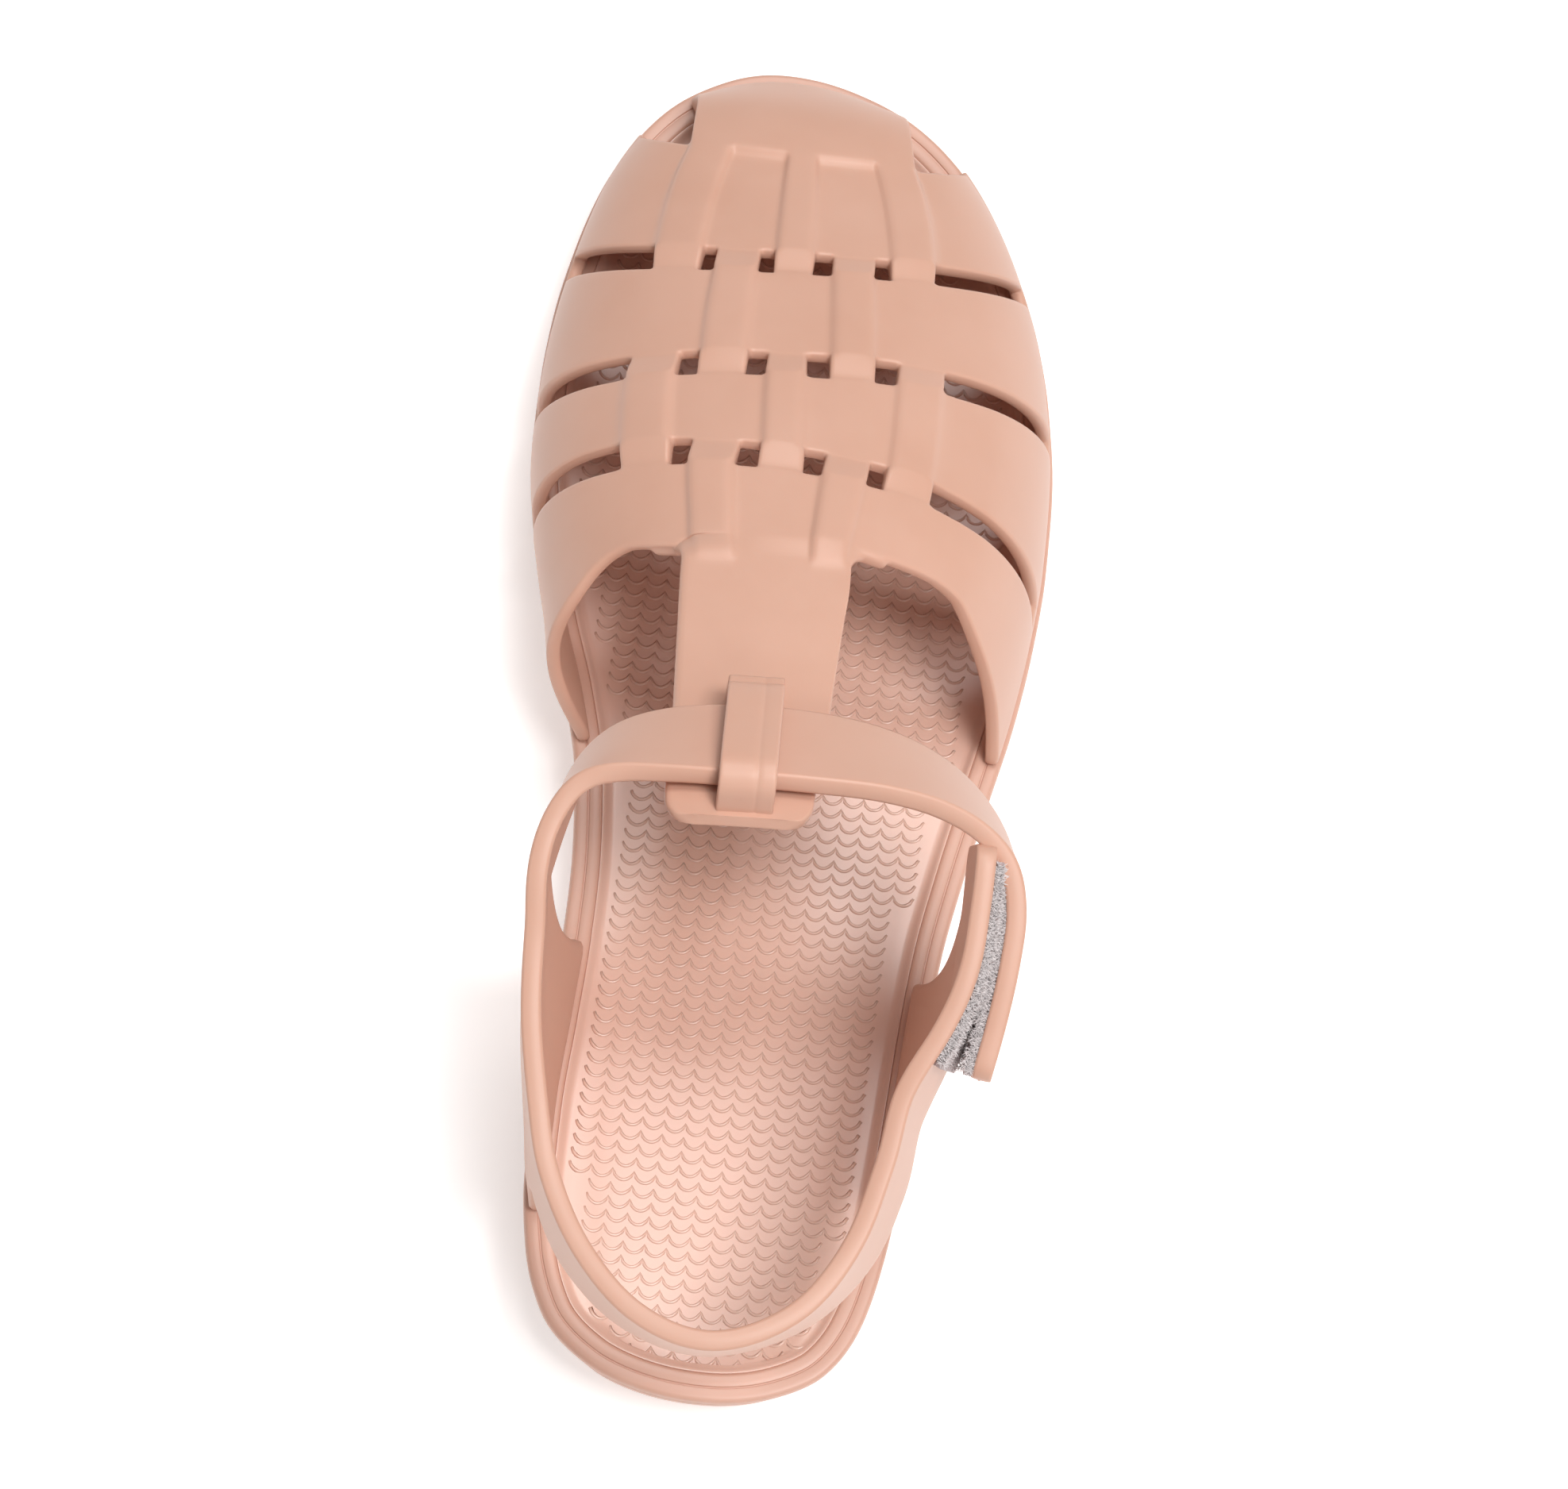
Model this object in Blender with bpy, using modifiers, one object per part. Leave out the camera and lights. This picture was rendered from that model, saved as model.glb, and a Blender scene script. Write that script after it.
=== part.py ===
"""Child's moulded jelly sandal, right foot: heel at the back of Y, toe at +Y, lateral side at +X, metres."""

import math

import bmesh
import bpy
from mathutils import Vector

LENGTH = 0.176
BALL_WIDTH = 0.067
INSTEP_HEIGHT = 0.060
SOLE_HEIGHT = 0.014
RIM_WIDTH = 0.0036
RIM_GROOVE = 0.0005
FOOTBED_THICKNESS = 0.0045
FOOTBED_STEP = 0.0008
HEEL_CUP = 0.0012
ARCH_RISE = 0.0015
TREAD_DEPTH = 0.0012
TREAD_WIDTH = 0.0022
UPPER_WALL = 0.0017
STRIP_RISE = 0.0007
UPPER_INSET = 0.0006
TOE_INSET = 0.0021
STRAP_WIDTH = 0.0145
STRAP_THICKNESS = 0.0023
TAPE_THICKNESS = 0.0007
TAPE_WIDTH = 0.0115
KEEPER_WIDTH = 0.0068
KEEPER_THICKNESS = 0.0018
BAR_CROWN = 0.0005
BAR_CORNER = 0.0025
STRAP_CORNER = 0.0020
QUARTER_BULGE = 0.0006
CROWN_SHIFT = 0.045
KEEPER_X = -0.014
GAP = 0.0003
STEP_RUN = 0.0003
RING = 40
RUNG = 6
TREAD = (0.06, 0.11, 0.16, 0.21, 0.26, 0.56, 0.61, 0.66, 0.71, 0.76)
BAR_ROWS = (0.537, 0.531, 0.515, 0.489, 0.455, 0.426, 0.410, 0.372, 0.345, 0.332, 0.326, 0.322, 0.319)
# stretches of the strap's rows that reach down to the sole
QUARTERS = ((1, 5), (11, 15))

# y is a share of LENGTH from the heel, medial and lateral are shares of BALL_WIDTH from the heel-toe line,
# ground is the lift of the underside and rim the top of the side, both shares of SOLE_HEIGHT
SOLE = (
    # y, medial, lateral, ground, rim
    (0.000, 0.000, 0.000, 0.08, 1.00),
    (0.006, 0.125, 0.105, 0.06, 1.00),
    (0.022, 0.225, 0.190, 0.02, 1.00),
    (0.055, 0.309, 0.252, 0.00, 0.99),
    (0.100, 0.345, 0.289, 0.00, 0.98),
    (0.145, 0.355, 0.312, 0.00, 0.97),
    (0.200, 0.349, 0.332, 0.00, 0.95),
    (0.260, 0.332, 0.352, 0.00, 0.92),
    (0.320, 0.316, 0.376, 0.04, 0.89),
    (0.380, 0.308, 0.413, 0.14, 0.85),
    (0.440, 0.313, 0.456, 0.16, 0.80),
    (0.500, 0.340, 0.500, 0.08, 0.74),
    (0.560, 0.382, 0.533, 0.01, 0.69),
    (0.620, 0.418, 0.555, 0.00, 0.66),
    (0.690, 0.436, 0.564, 0.00, 0.65),
    (0.750, 0.429, 0.553, 0.00, 0.66),
    (0.800, 0.413, 0.530, 0.03, 0.69),
    (0.850, 0.383, 0.490, 0.09, 0.73),
    (0.900, 0.338, 0.428, 0.17, 0.80),
    (0.940, 0.278, 0.352, 0.26, 0.86),
    (0.970, 0.207, 0.262, 0.35, 0.91),
    (0.990, 0.117, 0.150, 0.42, 0.95),
    (1.000, 0.000, 0.000, 0.47, 0.97),
)

# edges of the upper's bands: medial, lateral and crown are shares of LENGTH, height is the crown's top
# as a share of INSTEP_HEIGHT (0 for the rim), full is the roundness of the section
BANDS = (
    # name, medial, lateral, crown, height, full, bulge
    ("toe", 0.950, 0.937, 0.980, 0.000, 2.0, 0.000),
    ("cap_low", 0.947, 0.934, 0.972, 0.280, 2.1, 0.000),
    ("cap_mid", 0.944, 0.931, 0.954, 0.340, 2.2, 0.000),
    ("cap_top", 0.941, 0.928, 0.926, 0.378, 2.2, 0.000),
    ("b1_front", 0.938, 0.925, 0.890, 0.402, 2.3, 0.000),
    ("b1_rear", 0.841, 0.838, 0.799, 0.500, 2.4, 0.000),
    ("b2_front", 0.821, 0.824, 0.780, 0.519, 2.4, 0.000),
    ("b2_rear", 0.713, 0.716, 0.708, 0.598, 2.4, 0.010),
    ("b3_front", 0.696, 0.701, 0.688, 0.616, 2.4, 0.012),
    ("b3_rear", 0.619, 0.582, 0.627, 0.673, 2.4, 0.028),
    ("b4_front", 0.602, 0.568, 0.607, 0.690, 2.4, 0.033),
    ("b4_rear", 0.466, 0.468, 0.554, 0.733, 2.4, 0.078),
)


def blend(rows, y, column):
    """Smooth value of a table's column at y, by slopes that never overshoot."""
    count = len(rows)
    y = min(max(y, rows[0][0]), rows[-1][0])
    k = 0
    while k < count - 2 and y > rows[k + 1][0]:
        k += 1
    steps = [rows[i + 1][0] - rows[i][0] for i in range(count - 1)]
    slopes = [(rows[i + 1][column] - rows[i][column]) / steps[i] for i in range(count - 1)]

    def tangent(i):
        if i == 0:
            return slopes[0]
        if i == count - 1:
            return slopes[-1]
        if slopes[i - 1] * slopes[i] <= 0:
            return 0.0
        return 2 * slopes[i - 1] * slopes[i] / (slopes[i - 1] + slopes[i])

    h = steps[k]
    t = (y - rows[k][0]) / h
    a, b = rows[k][column], rows[k + 1][column]
    p, q = tangent(k) * h, tangent(k + 1) * h
    return (
        a * (2 * t**3 - 3 * t**2 + 1)
        + p * (t**3 - 2 * t**2 + t)
        + b * (3 * t**2 - 2 * t**3)
        + q * (t**3 - t**2)
    )


def rim_height(y):
    return blend(SOLE, y / LENGTH, 4) * SOLE_HEIGHT


def ground_height(y):
    return blend(SOLE, y / LENGTH, 3) * SOLE_HEIGHT


def turn(share):
    """Share of the length as a share of a half turn, which rounds the outline at both ends."""
    return math.acos(min(max(1 - 2 * share, -1), 1)) / math.pi


EDGE = tuple((turn(row[0]), row[1], row[2]) for row in SOLE)


def side(y, column, inset=0.0):
    """Distance of the sole's edge from the heel-toe line, at y, moved in by inset."""
    return blend(EDGE, turn(y / LENGTH), column) * BALL_WIDTH - inset


def foot_point(y, sign, inset):
    """A point on the rim, inset from the edge; sign is -1 on the medial side."""
    column = 1 if sign < 0 else 2
    return Vector((sign * side(y, column, inset), y, rim_height(y) + GAP))


# edges of the five lengthwise strips at each crossing, as across positions; row is an index into BANDS
STRIPS = (
    # row, then left and right edge of each strip from the medial side
    (0.0, (-0.49, -0.260), (-0.205, -0.095), (-0.050, 0.038), (0.080, 0.205), (0.250, 0.460)),
    (4.0, (-0.46, -0.250), (-0.205, -0.095), (-0.050, 0.038), (0.080, 0.205), (0.250, 0.445)),
    (5.0, (-0.40, -0.237), (-0.200, -0.080), (-0.050, 0.025), (0.062, 0.175), (0.213, 0.360)),
    (7.0, (-0.387, -0.250), (-0.200, -0.087), (-0.050, 0.012), (0.050, 0.150), (0.210, 0.338)),
    (9.0, (-0.40, -0.262), (-0.212, -0.100), (-0.060, 0.012), (0.050, 0.150), (0.188, 0.312)),
    (11.0, (-0.40, -0.275), (-0.235, -0.120), (-0.075, 0.010), (0.055, 0.165), (0.200, 0.325)),
)

# the bar from the last band to the instep: y, height of its top, left and right edge
BAR = (
    # y of LENGTH, height of INSTEP_HEIGHT, left and right of BALL_WIDTH
    (0.319, 1.010, -0.158, 0.090),
    (0.345, 0.975, -0.157, 0.094),
    (0.372, 0.926, -0.154, 0.104),
    (0.410, 0.856, -0.150, 0.118),
    (0.426, 0.832, -0.149, 0.122),
    (0.455, 0.805, -0.149, 0.130),
    (0.489, 0.780, -0.149, 0.140),
    (0.523, 0.755, -0.149, 0.150),
    (0.554, 0.733, -0.146, 0.152),
)

# centre line of the strap's inner face, from the lateral tab round the heel and over the instep to the free end
STRAP = (
    # x of BALL_WIDTH, y of LENGTH, height of INSTEP_HEIGHT, recline in degrees, lean, width, lap, foot y
    (0.370, 0.324, 0.833, 90, 0.00, 1.00, 0, 0.318),
    (0.366, 0.290, 0.803, 90, 0.00, 1.00, 0, 0.296),
    (0.354, 0.250, 0.767, 90, 0.00, 1.00, 0, 0.262),
    (0.326, 0.214, 0.730, 90, -0.06, 1.00, 0, 0.225),
    (0.273, 0.170, 0.688, 90, -0.14, 1.00, 0, 0.180),
    (0.236, 0.126, 0.658, 90, -0.20, 1.00, 0, 0.140),
    (0.169, 0.077, 0.645, 90, -0.20, 1.00, 0, 0),
    (0.100, 0.040, 0.642, 90, -0.08, 1.00, 0, 0),
    (-0.022, 0.016, 0.642, 90, 0.00, 1.00, 0, 0),
    (-0.142, 0.030, 0.642, 90, 0.04, 1.00, 0, 0),
    (-0.237, 0.064, 0.645, 90, 0.06, 1.00, 0, 0),
    (-0.294, 0.106, 0.655, 90, 0.04, 1.00, 0, 0.128),
    (-0.318, 0.150, 0.680, 90, 0.00, 1.00, 0, 0.168),
    (-0.338, 0.203, 0.725, 90, 0.00, 1.00, 0, 0.218),
    (-0.341, 0.259, 0.775, 90, 0.00, 1.00, 0, 0.268),
    (-0.339, 0.297, 0.825, 86, 0.00, 1.00, 0, 0.318),
    (-0.327, 0.333, 0.858, 78, -0.05, 1.00, 0, 0),
    (-0.292, 0.362, 0.885, 58, -0.05, 0.96, 0, 0),
    (-0.237, 0.370, 0.908, 45, 0.00, 0.93, 0, 0),
    (-0.146, 0.374, 0.931, 36, 0.00, 0.91, 0, 0),
    (-0.022, 0.372, 0.939, 32, 0.00, 0.91, 0, 0),
    (0.104, 0.371, 0.934, 33, 0.00, 0.91, 0, 0),
    (0.200, 0.372, 0.908, 40, 0.00, 0.92, 0.1, 0),
    (0.278, 0.367, 0.875, 46, 0.00, 0.95, 0.3, 0),
    (0.330, 0.352, 0.835, 54, 0.00, 0.98, 0.6, 0),
    (0.362, 0.333, 0.805, 60, -0.02, 1.00, 0.9, 0),
    (0.374, 0.298, 0.775, 70, -0.04, 1.00, 1, 0),
    (0.362, 0.261, 0.742, 76, -0.05, 1.00, 1, 0),
    (0.344, 0.227, 0.700, 78, -0.05, 1.00, 1, 0),
    (0.326, 0.195, 0.663, 80, -0.05, 1.00, 1, 0),
)


def column(rows, k, t):
    """Value of every number of a table's row at row position t, by a curve through the rows."""
    i = min(int(t), len(rows) - 2)
    f = t - i
    before = rows[max(i - 1, 0)][k]
    a = rows[i][k]
    b = rows[i + 1][k]
    after = rows[min(i + 2, len(rows) - 1)][k]
    p = (b - before) / 2 if i > 0 else b - a
    q = (after - a) / 2 if i < len(rows) - 2 else b - a
    return (
        a * (2 * f**3 - 3 * f**2 + 1)
        + p * (f**3 - 2 * f**2 + f)
        + b * (3 * f**2 - 2 * f**3)
        + q * (f**3 - f**2)
    )


def mix(a, b, f):
    return a + (b - a) * f


def fan_row(u):
    """Numbers of the upper's section at row position u: between two band edges they change evenly."""
    i = min(int(u), len(BANDS) - 2)
    return [mix(p, q, u - i) for p, q in zip(BANDS[i][1:], BANDS[i + 1][1:])]


def toe_point(across, inward):
    """Point where the toe cap stands on the rim, moved inward from the upper's outer face."""
    medial, lateral = BANDS[0][1:3]

    def edge(at):
        start = turn(medial if at < 0 else lateral)
        reached = mix(1, start, abs(math.sin(at * math.pi / 2)))
        x = blend(EDGE, reached, 1 if at < 0 else 2) * BALL_WIDTH
        return Vector((math.copysign(x, at), (1 - math.cos(math.pi * reached)) / 2 * LENGTH, 0))

    step = 0.03
    along = edge(min(across + step, 1)) - edge(max(across - step, -1))
    inner = Vector((along.y, -along.x, 0)).normalized()
    spot = edge(across) + inner * (mix(UPPER_INSET, TOE_INSET, math.cos(across * math.pi / 2)) + inward)
    spot.z = rim_height(min(spot.y + UPPER_WALL + STRIP_RISE, LENGTH)) + GAP
    return spot


def fan_point(u, across, inward):
    """Point of the upper moved inward from its outer face: across is -1 at the medial foot, 1 at the lateral."""
    if u < 1:
        return toe_point(across, inward).lerp(fan_point(1, across, inward), u)
    medial, lateral, crown, height, full, bulge = fan_row(u)
    medial_foot = foot_point(medial * LENGTH, -1, UPPER_INSET)
    lateral_foot = foot_point(lateral * LENGTH, 1, UPPER_INSET)
    middle = (medial_foot + lateral_foot) / 2
    top = Vector((CROWN_SHIFT * BALL_WIDTH, crown * LENGTH, height * INSTEP_HEIGHT))
    half = (lateral_foot - medial_foot) / 2
    rise = top - middle
    half -= half.normalized() * inward
    rise -= rise.normalized() * inward
    angle = across * math.pi / 2
    s = math.sin(angle)
    c = math.cos(angle)
    power = 2 / full
    point = middle + half * math.copysign(abs(s) ** power, s) + rise * abs(c) ** power
    if across < 0:
        point.x -= bulge * BALL_WIDTH * 4 * c * (1 - c)
    return point


def bar_point(y, share, rise):
    """Point of the bar at y of LENGTH and share of its width from the medial edge, raised by rise."""
    height = blend(BAR, y, 1) * INSTEP_HEIGHT
    left = blend(BAR, y, 2) * BALL_WIDTH
    right = blend(BAR, y, 3) * BALL_WIDTH
    step = 0.004
    slope = (blend(BAR, y - step, 1) - blend(BAR, y + step, 1)) * INSTEP_HEIGHT / (2 * step * LENGTH)
    normal = Vector((0, slope, 1)).normalized()
    reach = max(BAR_CORNER - (y - BAR[0][0]) * LENGTH, 0)
    narrow = BAR_CORNER - math.sqrt(max(BAR_CORNER**2 - reach**2, 0))
    x = mix(left + narrow, right - narrow, share)
    dip = BAR_CROWN * (2 * share - 1) ** 2
    return Vector((x, y * LENGTH, height - dip)) + normal * rise


def centre_of_box():
    """Middle of the sole's box, which becomes the origin."""
    medial = max(row[1] for row in SOLE)
    lateral = max(row[2] for row in SOLE)
    return Vector(((lateral - medial) / 2 * BALL_WIDTH, LENGTH / 2, 0))


def new_object(name, mesh, where, colour):
    """Object of a finished bmesh in a collection, moved to the origin, with its own material."""
    bmesh.ops.translate(mesh, verts=mesh.verts, vec=-centre_of_box())
    data = bpy.data.meshes.new(name)
    mesh.to_mesh(data)
    mesh.free()
    item = bpy.data.objects.new(name, data)
    where.objects.link(item)
    if colour:
        material = bpy.data.materials.new(name)
        material.use_nodes = True
        shader = material.node_tree.nodes["Principled BSDF"]
        shader.inputs["Base Color"].default_value = (*colour, 1)
        shader.inputs["Roughness"].default_value = 0.4
        data.materials.append(material)
    return item


def keep(item, kind, **settings):
    """Add a modifier and set its values."""
    modifier = item.modifiers.new(kind.title(), kind)
    for key, value in settings.items():
        setattr(modifier, key, value)
    return modifier


def grid_mesh(points, weights, present):
    """Open surface through rows of points; cells that are not present are left out."""
    mesh = bmesh.new()
    layer = mesh.verts.layers.deform.verify()
    used = {}

    def corner(j, i):
        if (j, i) not in used:
            vertex = mesh.verts.new(points[j][i])
            vertex[layer][0] = weights[j][i]
            used[j, i] = vertex
        return used[j, i]

    for j in range(len(points) - 1):
        for i in range(len(points[0]) - 1):
            if present(j, i):
                mesh.faces.new((corner(j, i), corner(j, i + 1), corner(j + 1, i + 1), corner(j + 1, i)))
    return mesh


def shell(name, mesh, where, colour, thickness):
    """Solid wall of an open surface, its thickness scaled by the vertex weights."""
    item = new_object(name, mesh, where, colour)
    item.vertex_groups.new(name="thickness")
    keep(
        item,
        "SOLIDIFY",
        thickness=thickness,
        offset=-1,
        vertex_group="thickness",
        use_even_offset=False,
        use_quality_normals=True,
    )
    return item


def ring(inset, height):
    """Points round the sole at an inset from its edge; height is a function of y."""
    edge = []
    for i in range(2 * RING):
        share = (1 - math.cos(math.pi * i / RING)) / 2
        y = share * LENGTH
        sign = 1 if i <= RING else -1
        edge.append(Vector((sign * side(y, 2 if sign > 0 else 1), y, 0)))
    out = []
    count = len(edge)
    for i, point in enumerate(edge):
        along = edge[(i + 1) % count] - edge[i - 1]
        inner = Vector((-along.y, along.x, 0)).normalized()
        moved = point + inner * inset
        out.append(Vector((moved.x, moved.y, height(moved.y))))
    return out


def ladder(mesh, loop, height, flip):
    """Close a ring of vertices with rungs from side to side, each inner vertex at the given height."""
    rungs = [[loop[0]] * (RUNG + 1)]
    for i in range(1, RING):
        right = loop[i]
        left = loop[-i]
        rung = [right]
        for k in range(1, RUNG):
            spot = right.co.lerp(left.co, k / RUNG)
            across = abs(2 * k / RUNG - 1)
            rung.append(mesh.verts.new((spot.x, spot.y, height(spot, across))))
        rung.append(left)
        rungs.append(rung)
    rungs.append([loop[RING]] * (RUNG + 1))
    for low, high in zip(rungs, rungs[1:]):
        for k in range(RUNG):
            corners = [low[k], low[k + 1], high[k + 1], high[k]]
            face = [v for n, v in enumerate(corners) if v not in corners[:n]]
            if flip:
                face.reverse()
            mesh.faces.new(face)


def ringed(rings, bottom, top):
    """Solid between stacked rings, closed below and above."""
    mesh = bmesh.new()
    loops = [[mesh.verts.new(p) for p in points] for points in rings]
    for low, high in zip(loops, loops[1:]):
        for i in range(2 * RING):
            n = (i + 1) % (2 * RING)
            mesh.faces.new((low[i], low[n], high[n], high[i]))
    ladder(mesh, loops[0], bottom, False)
    ladder(mesh, loops[-1], top, True)
    bmesh.ops.recalc_face_normals(mesh, faces=mesh.faces)
    return mesh


def pocket(y):
    return rim_height(y) - FOOTBED_STEP - FOOTBED_THICKNESS


def build_outsole(where, cutters):
    def level(share, lift=0.0):
        return lambda y: mix(ground_height(y), rim_height(y), share) + lift

    def rim(lift):
        return lambda y: rim_height(y) + lift

    rings = [
        ring(0.0030, level(0)),
        ring(0.0021, level(0, 0.0007)),
        ring(0.0015, level(0.28)),
        ring(0.0011, level(0.46)),
        ring(0.0016, level(0.52)),
        ring(0.0014, level(0.58)),
        ring(0.0007, level(0.64)),
        ring(0, rim(-0.0010)),
        ring(0.0002, rim(-0.0004)),
        ring(0.0007, rim(0)),
        ring(RIM_WIDTH * 0.42, rim(0)),
        ring(RIM_WIDTH * 0.47, rim(-RIM_GROOVE)),
        ring(RIM_WIDTH * 0.55, rim(-RIM_GROOVE)),
        ring(RIM_WIDTH * 0.60, rim(0)),
        ring(RIM_WIDTH - 0.0003, rim(0)),
        ring(RIM_WIDTH, rim(-0.0003)),
        ring(RIM_WIDTH, pocket),
    ]
    mesh = ringed(rings, lambda p, a: ground_height(p.y), lambda p, a: pocket(p.y))
    item = new_object("outsole", mesh, where, (0.70, 0.40, 0.30))
    bars = bmesh.new()
    for y in TREAD:
        place = Vector((0, y * LENGTH, ground_height(y * LENGTH) + TREAD_DEPTH / 2 - 0.0005))
        made = bmesh.ops.create_cube(bars, size=1)["verts"]
        bmesh.ops.scale(bars, verts=made, vec=(2 * BALL_WIDTH, TREAD_WIDTH, TREAD_DEPTH + 0.001))
        bmesh.ops.translate(bars, verts=made, vec=place)
    cutter = new_object("tread_cutter", bars, cutters, None)
    cutter.hide_render = True
    cutter.display_type = "WIRE"
    keep(item, "BOOLEAN", operation="DIFFERENCE", object=cutter, solver="EXACT")
    return item


def build_footbed(where):
    def top(y):
        return rim_height(y) - FOOTBED_STEP

    def surface(spot, across):
        heel = max(0.0, 1 - spot.y / (0.45 * LENGTH))
        cup = HEEL_CUP * min(1.0, 1.6 * heel) * (1 - across**2)
        reach = math.exp(-(((spot.y / LENGTH - 0.44) / 0.11) ** 2))
        arch = ARCH_RISE * reach * max(0.0, -spot.x / (0.3 * BALL_WIDTH)) * (1 - across**4)
        return top(spot.y) - cup + arch

    inset = RIM_WIDTH + GAP
    rings = [
        ring(inset, lambda y: pocket(y) + GAP),
        ring(inset, lambda y: top(y) - 0.0004),
        ring(inset + 0.0004, top),
        ring(inset + 0.0022, lambda y: top(y) - 0.0002),
    ]
    mesh = ringed(rings, lambda p, a: pocket(p.y) + GAP, surface)
    return new_object("footbed", mesh, where, (0.74, 0.45, 0.35))


def build_upper(where, cutters):
    rows = [0, 0.5, 1, 1.5, 2, 3, 4, 4.1, 4.4, 4.7]
    for edge in (5, 7, 9):
        rows += [edge, edge + 0.12, edge + 0.88, edge + 1, edge + 1.33, edge + 1.67]
    rows += [11]
    sides = (1, 0.99, 0.9, 0.8, 0.7, 0.6, 0.5)

    def columns(u):
        at = min(u, 11.0)
        k = 0
        while k < len(STRIPS) - 2 and at > STRIPS[k + 1][0]:
            k += 1
        f = (at - STRIPS[k][0]) / (STRIPS[k + 1][0] - STRIPS[k][0])
        pairs = [
            (mix(p[0], q[0], f), mix(p[1], q[1], f)) for p, q in zip(STRIPS[k][1:], STRIPS[k + 1][1:])
        ]
        out = [-s for s in sides]
        for a, b in pairs:
            run = STEP_RUN / (0.75 * BALL_WIDTH)
            out += [a, a + run, (a + b) / 2, b - run, b]
        out += list(reversed(sides))
        return out

    high = 1
    flat = UPPER_WALL / (UPPER_WALL + STRIP_RISE)
    low = flat - 0.4 * STRIP_RISE / UPPER_WALL
    first = len(sides)
    last = first + 25

    def strip_of(i):
        """Number of the strip that a column line belongs to and whether the line is inside its edges."""
        if not first <= i < last:
            return -1, False
        return (i - first) // 5, (i - first) % 5 in (1, 2, 3)

    def weight(u, i):
        strip, inside = strip_of(i)
        if u <= 4:
            return high if first <= i < last else flat
        if strip < 0:
            return flat
        gap = int(u) % 2 == 1 and 5 <= u < 11 and u != int(u)
        if gap:
            # between two bands a strip comes down from the one it crosses or climbs to the next
            leaves = strip % 2 == (int(u) - 5) // 2 % 2
            f = (u - int(u) - 0.12) / 0.76
            return mix(high, low, f) if leaves else mix(low, high, f)
        band = 0 if u <= 5 else 1 if u <= 7 else 2 if u <= 9 else 3
        return high if strip % 2 == band % 2 and inside else flat

    def present(j, i):
        if j >= len(rows) - 1:
            return first + 5 <= i < last - 6
        in_strip = first <= i < last - 1 and (i - first) % 5 != 4
        if rows[j] < 4:
            return first <= i < last - 1
        u = (rows[j] + rows[j + 1]) / 2
        if int(u) in (5, 7, 9):
            return in_strip or i < 2 or i >= last + len(sides) - 3
        return True

    points = []
    weights = []
    for u in rows:
        line = [fan_point(u, a, UPPER_WALL) for a in columns(u)]
        for foot, above in ((0, 1), (-1, -2)):
            line[above] = line[foot] + Vector((0, 0, UPPER_WALL / 2))
        points.append(line)
        weights.append([weight(u, i) for i in range(last + len(sides))])
    base = points[-1]
    left = base[first + 5].x
    right = base[last - 6].x
    for n, y in enumerate(BAR_ROWS):
        line = []
        for i in range(last + len(sides)):
            share = min(max((base[i].x - left) / (right - left), 0), 1)
            line.append(bar_point(y, share, -UPPER_WALL))
        points.append(line)
        tabs = [n == 0 and strip_of(i)[0] in (1, 3) and strip_of(i)[1] for i in range(len(line))]
        weights.append([high if tab else flat for tab in tabs])
    mesh = grid_mesh(points, weights, present)
    item = shell("upper", mesh, where, (0.76, 0.47, 0.36), UPPER_WALL + STRIP_RISE)
    keeper = new_object("keeper_loop", keeper_mesh(), cutters, None)
    keeper.hide_render = True
    keeper.display_type = "WIRE"
    keep(item, "BOOLEAN", operation="UNION", object=keeper, solver="EXACT")
    return item


def keeper_mesh():
    """Loop over the strap, drawn as a side profile along the bar and given the keeper's width."""
    clear = 3.5 * GAP + STRAP_THICKNESS
    outer = clear + KEEPER_THICKNESS
    root = -0.4 * UPPER_WALL
    front = 0.372 + STRAP_WIDTH * 0.44 / LENGTH
    back = 0.369 - STRAP_WIDTH * 0.44 / LENGTH
    reach = 0.008
    profile = (
        (front + 0.036, root),
        (front + 0.034, 0.0010),
        (front + 0.016, outer * 0.75),
        (front + 0.004, outer),
        (0.370, outer),
        (0.345, outer),
        (back - reach + 0.001, outer),
        (back - reach, outer - 0.0003),
        (back - reach, root),
        (back, root),
        (back, clear),
        (0.345, clear),
        (0.370, clear),
        (front, clear),
        (front + 0.008, root),
    )
    mesh = bmesh.new()
    ends = []
    for side_sign in (-1, 1):
        loop = []
        for y, rise in profile:
            point = bar_point(y, 0.5, rise)
            point.x = KEEPER_X * BALL_WIDTH - 0.06 * (front * LENGTH - point.y) + side_sign * KEEPER_WIDTH / 2
            loop.append(mesh.verts.new(point))
        ends.append(loop)
    count = len(profile)
    for i in range(count):
        n = (i + 1) % count
        mesh.faces.new((ends[0][i], ends[0][n], ends[1][n], ends[1][i]))
    mesh.faces.new(ends[0])
    mesh.faces.new(list(reversed(ends[1])))
    bmesh.ops.recalc_face_normals(mesh, faces=mesh.faces)
    return mesh


def strap_line(t):
    x, y, z, recline, lean, width, lap, foot = [column(STRAP, k, t) for k in range(8)]
    push = lap * (STRAP_THICKNESS + 2 * TAPE_THICKNESS + 3 * GAP)
    return Vector((x * BALL_WIDTH + push, y * LENGTH, z * INSTEP_HEIGHT)), recline, lean, width


def strap_frame(t):
    """Centre of the strap's inner face, its direction across, its outward normal and its width."""
    centre, recline, lean, width = strap_line(t)
    ahead = strap_line(min(t + 0.15, len(STRAP) - 1))[0]
    behind = strap_line(max(t - 0.15, 0))[0]
    along = (ahead - behind).normalized()
    angle = math.radians(recline)
    across = Vector((lean, -math.cos(angle), math.sin(angle)))
    across = (across - along * across.dot(along)).normalized()
    return centre, across, across.cross(along).normalized(), width


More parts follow.
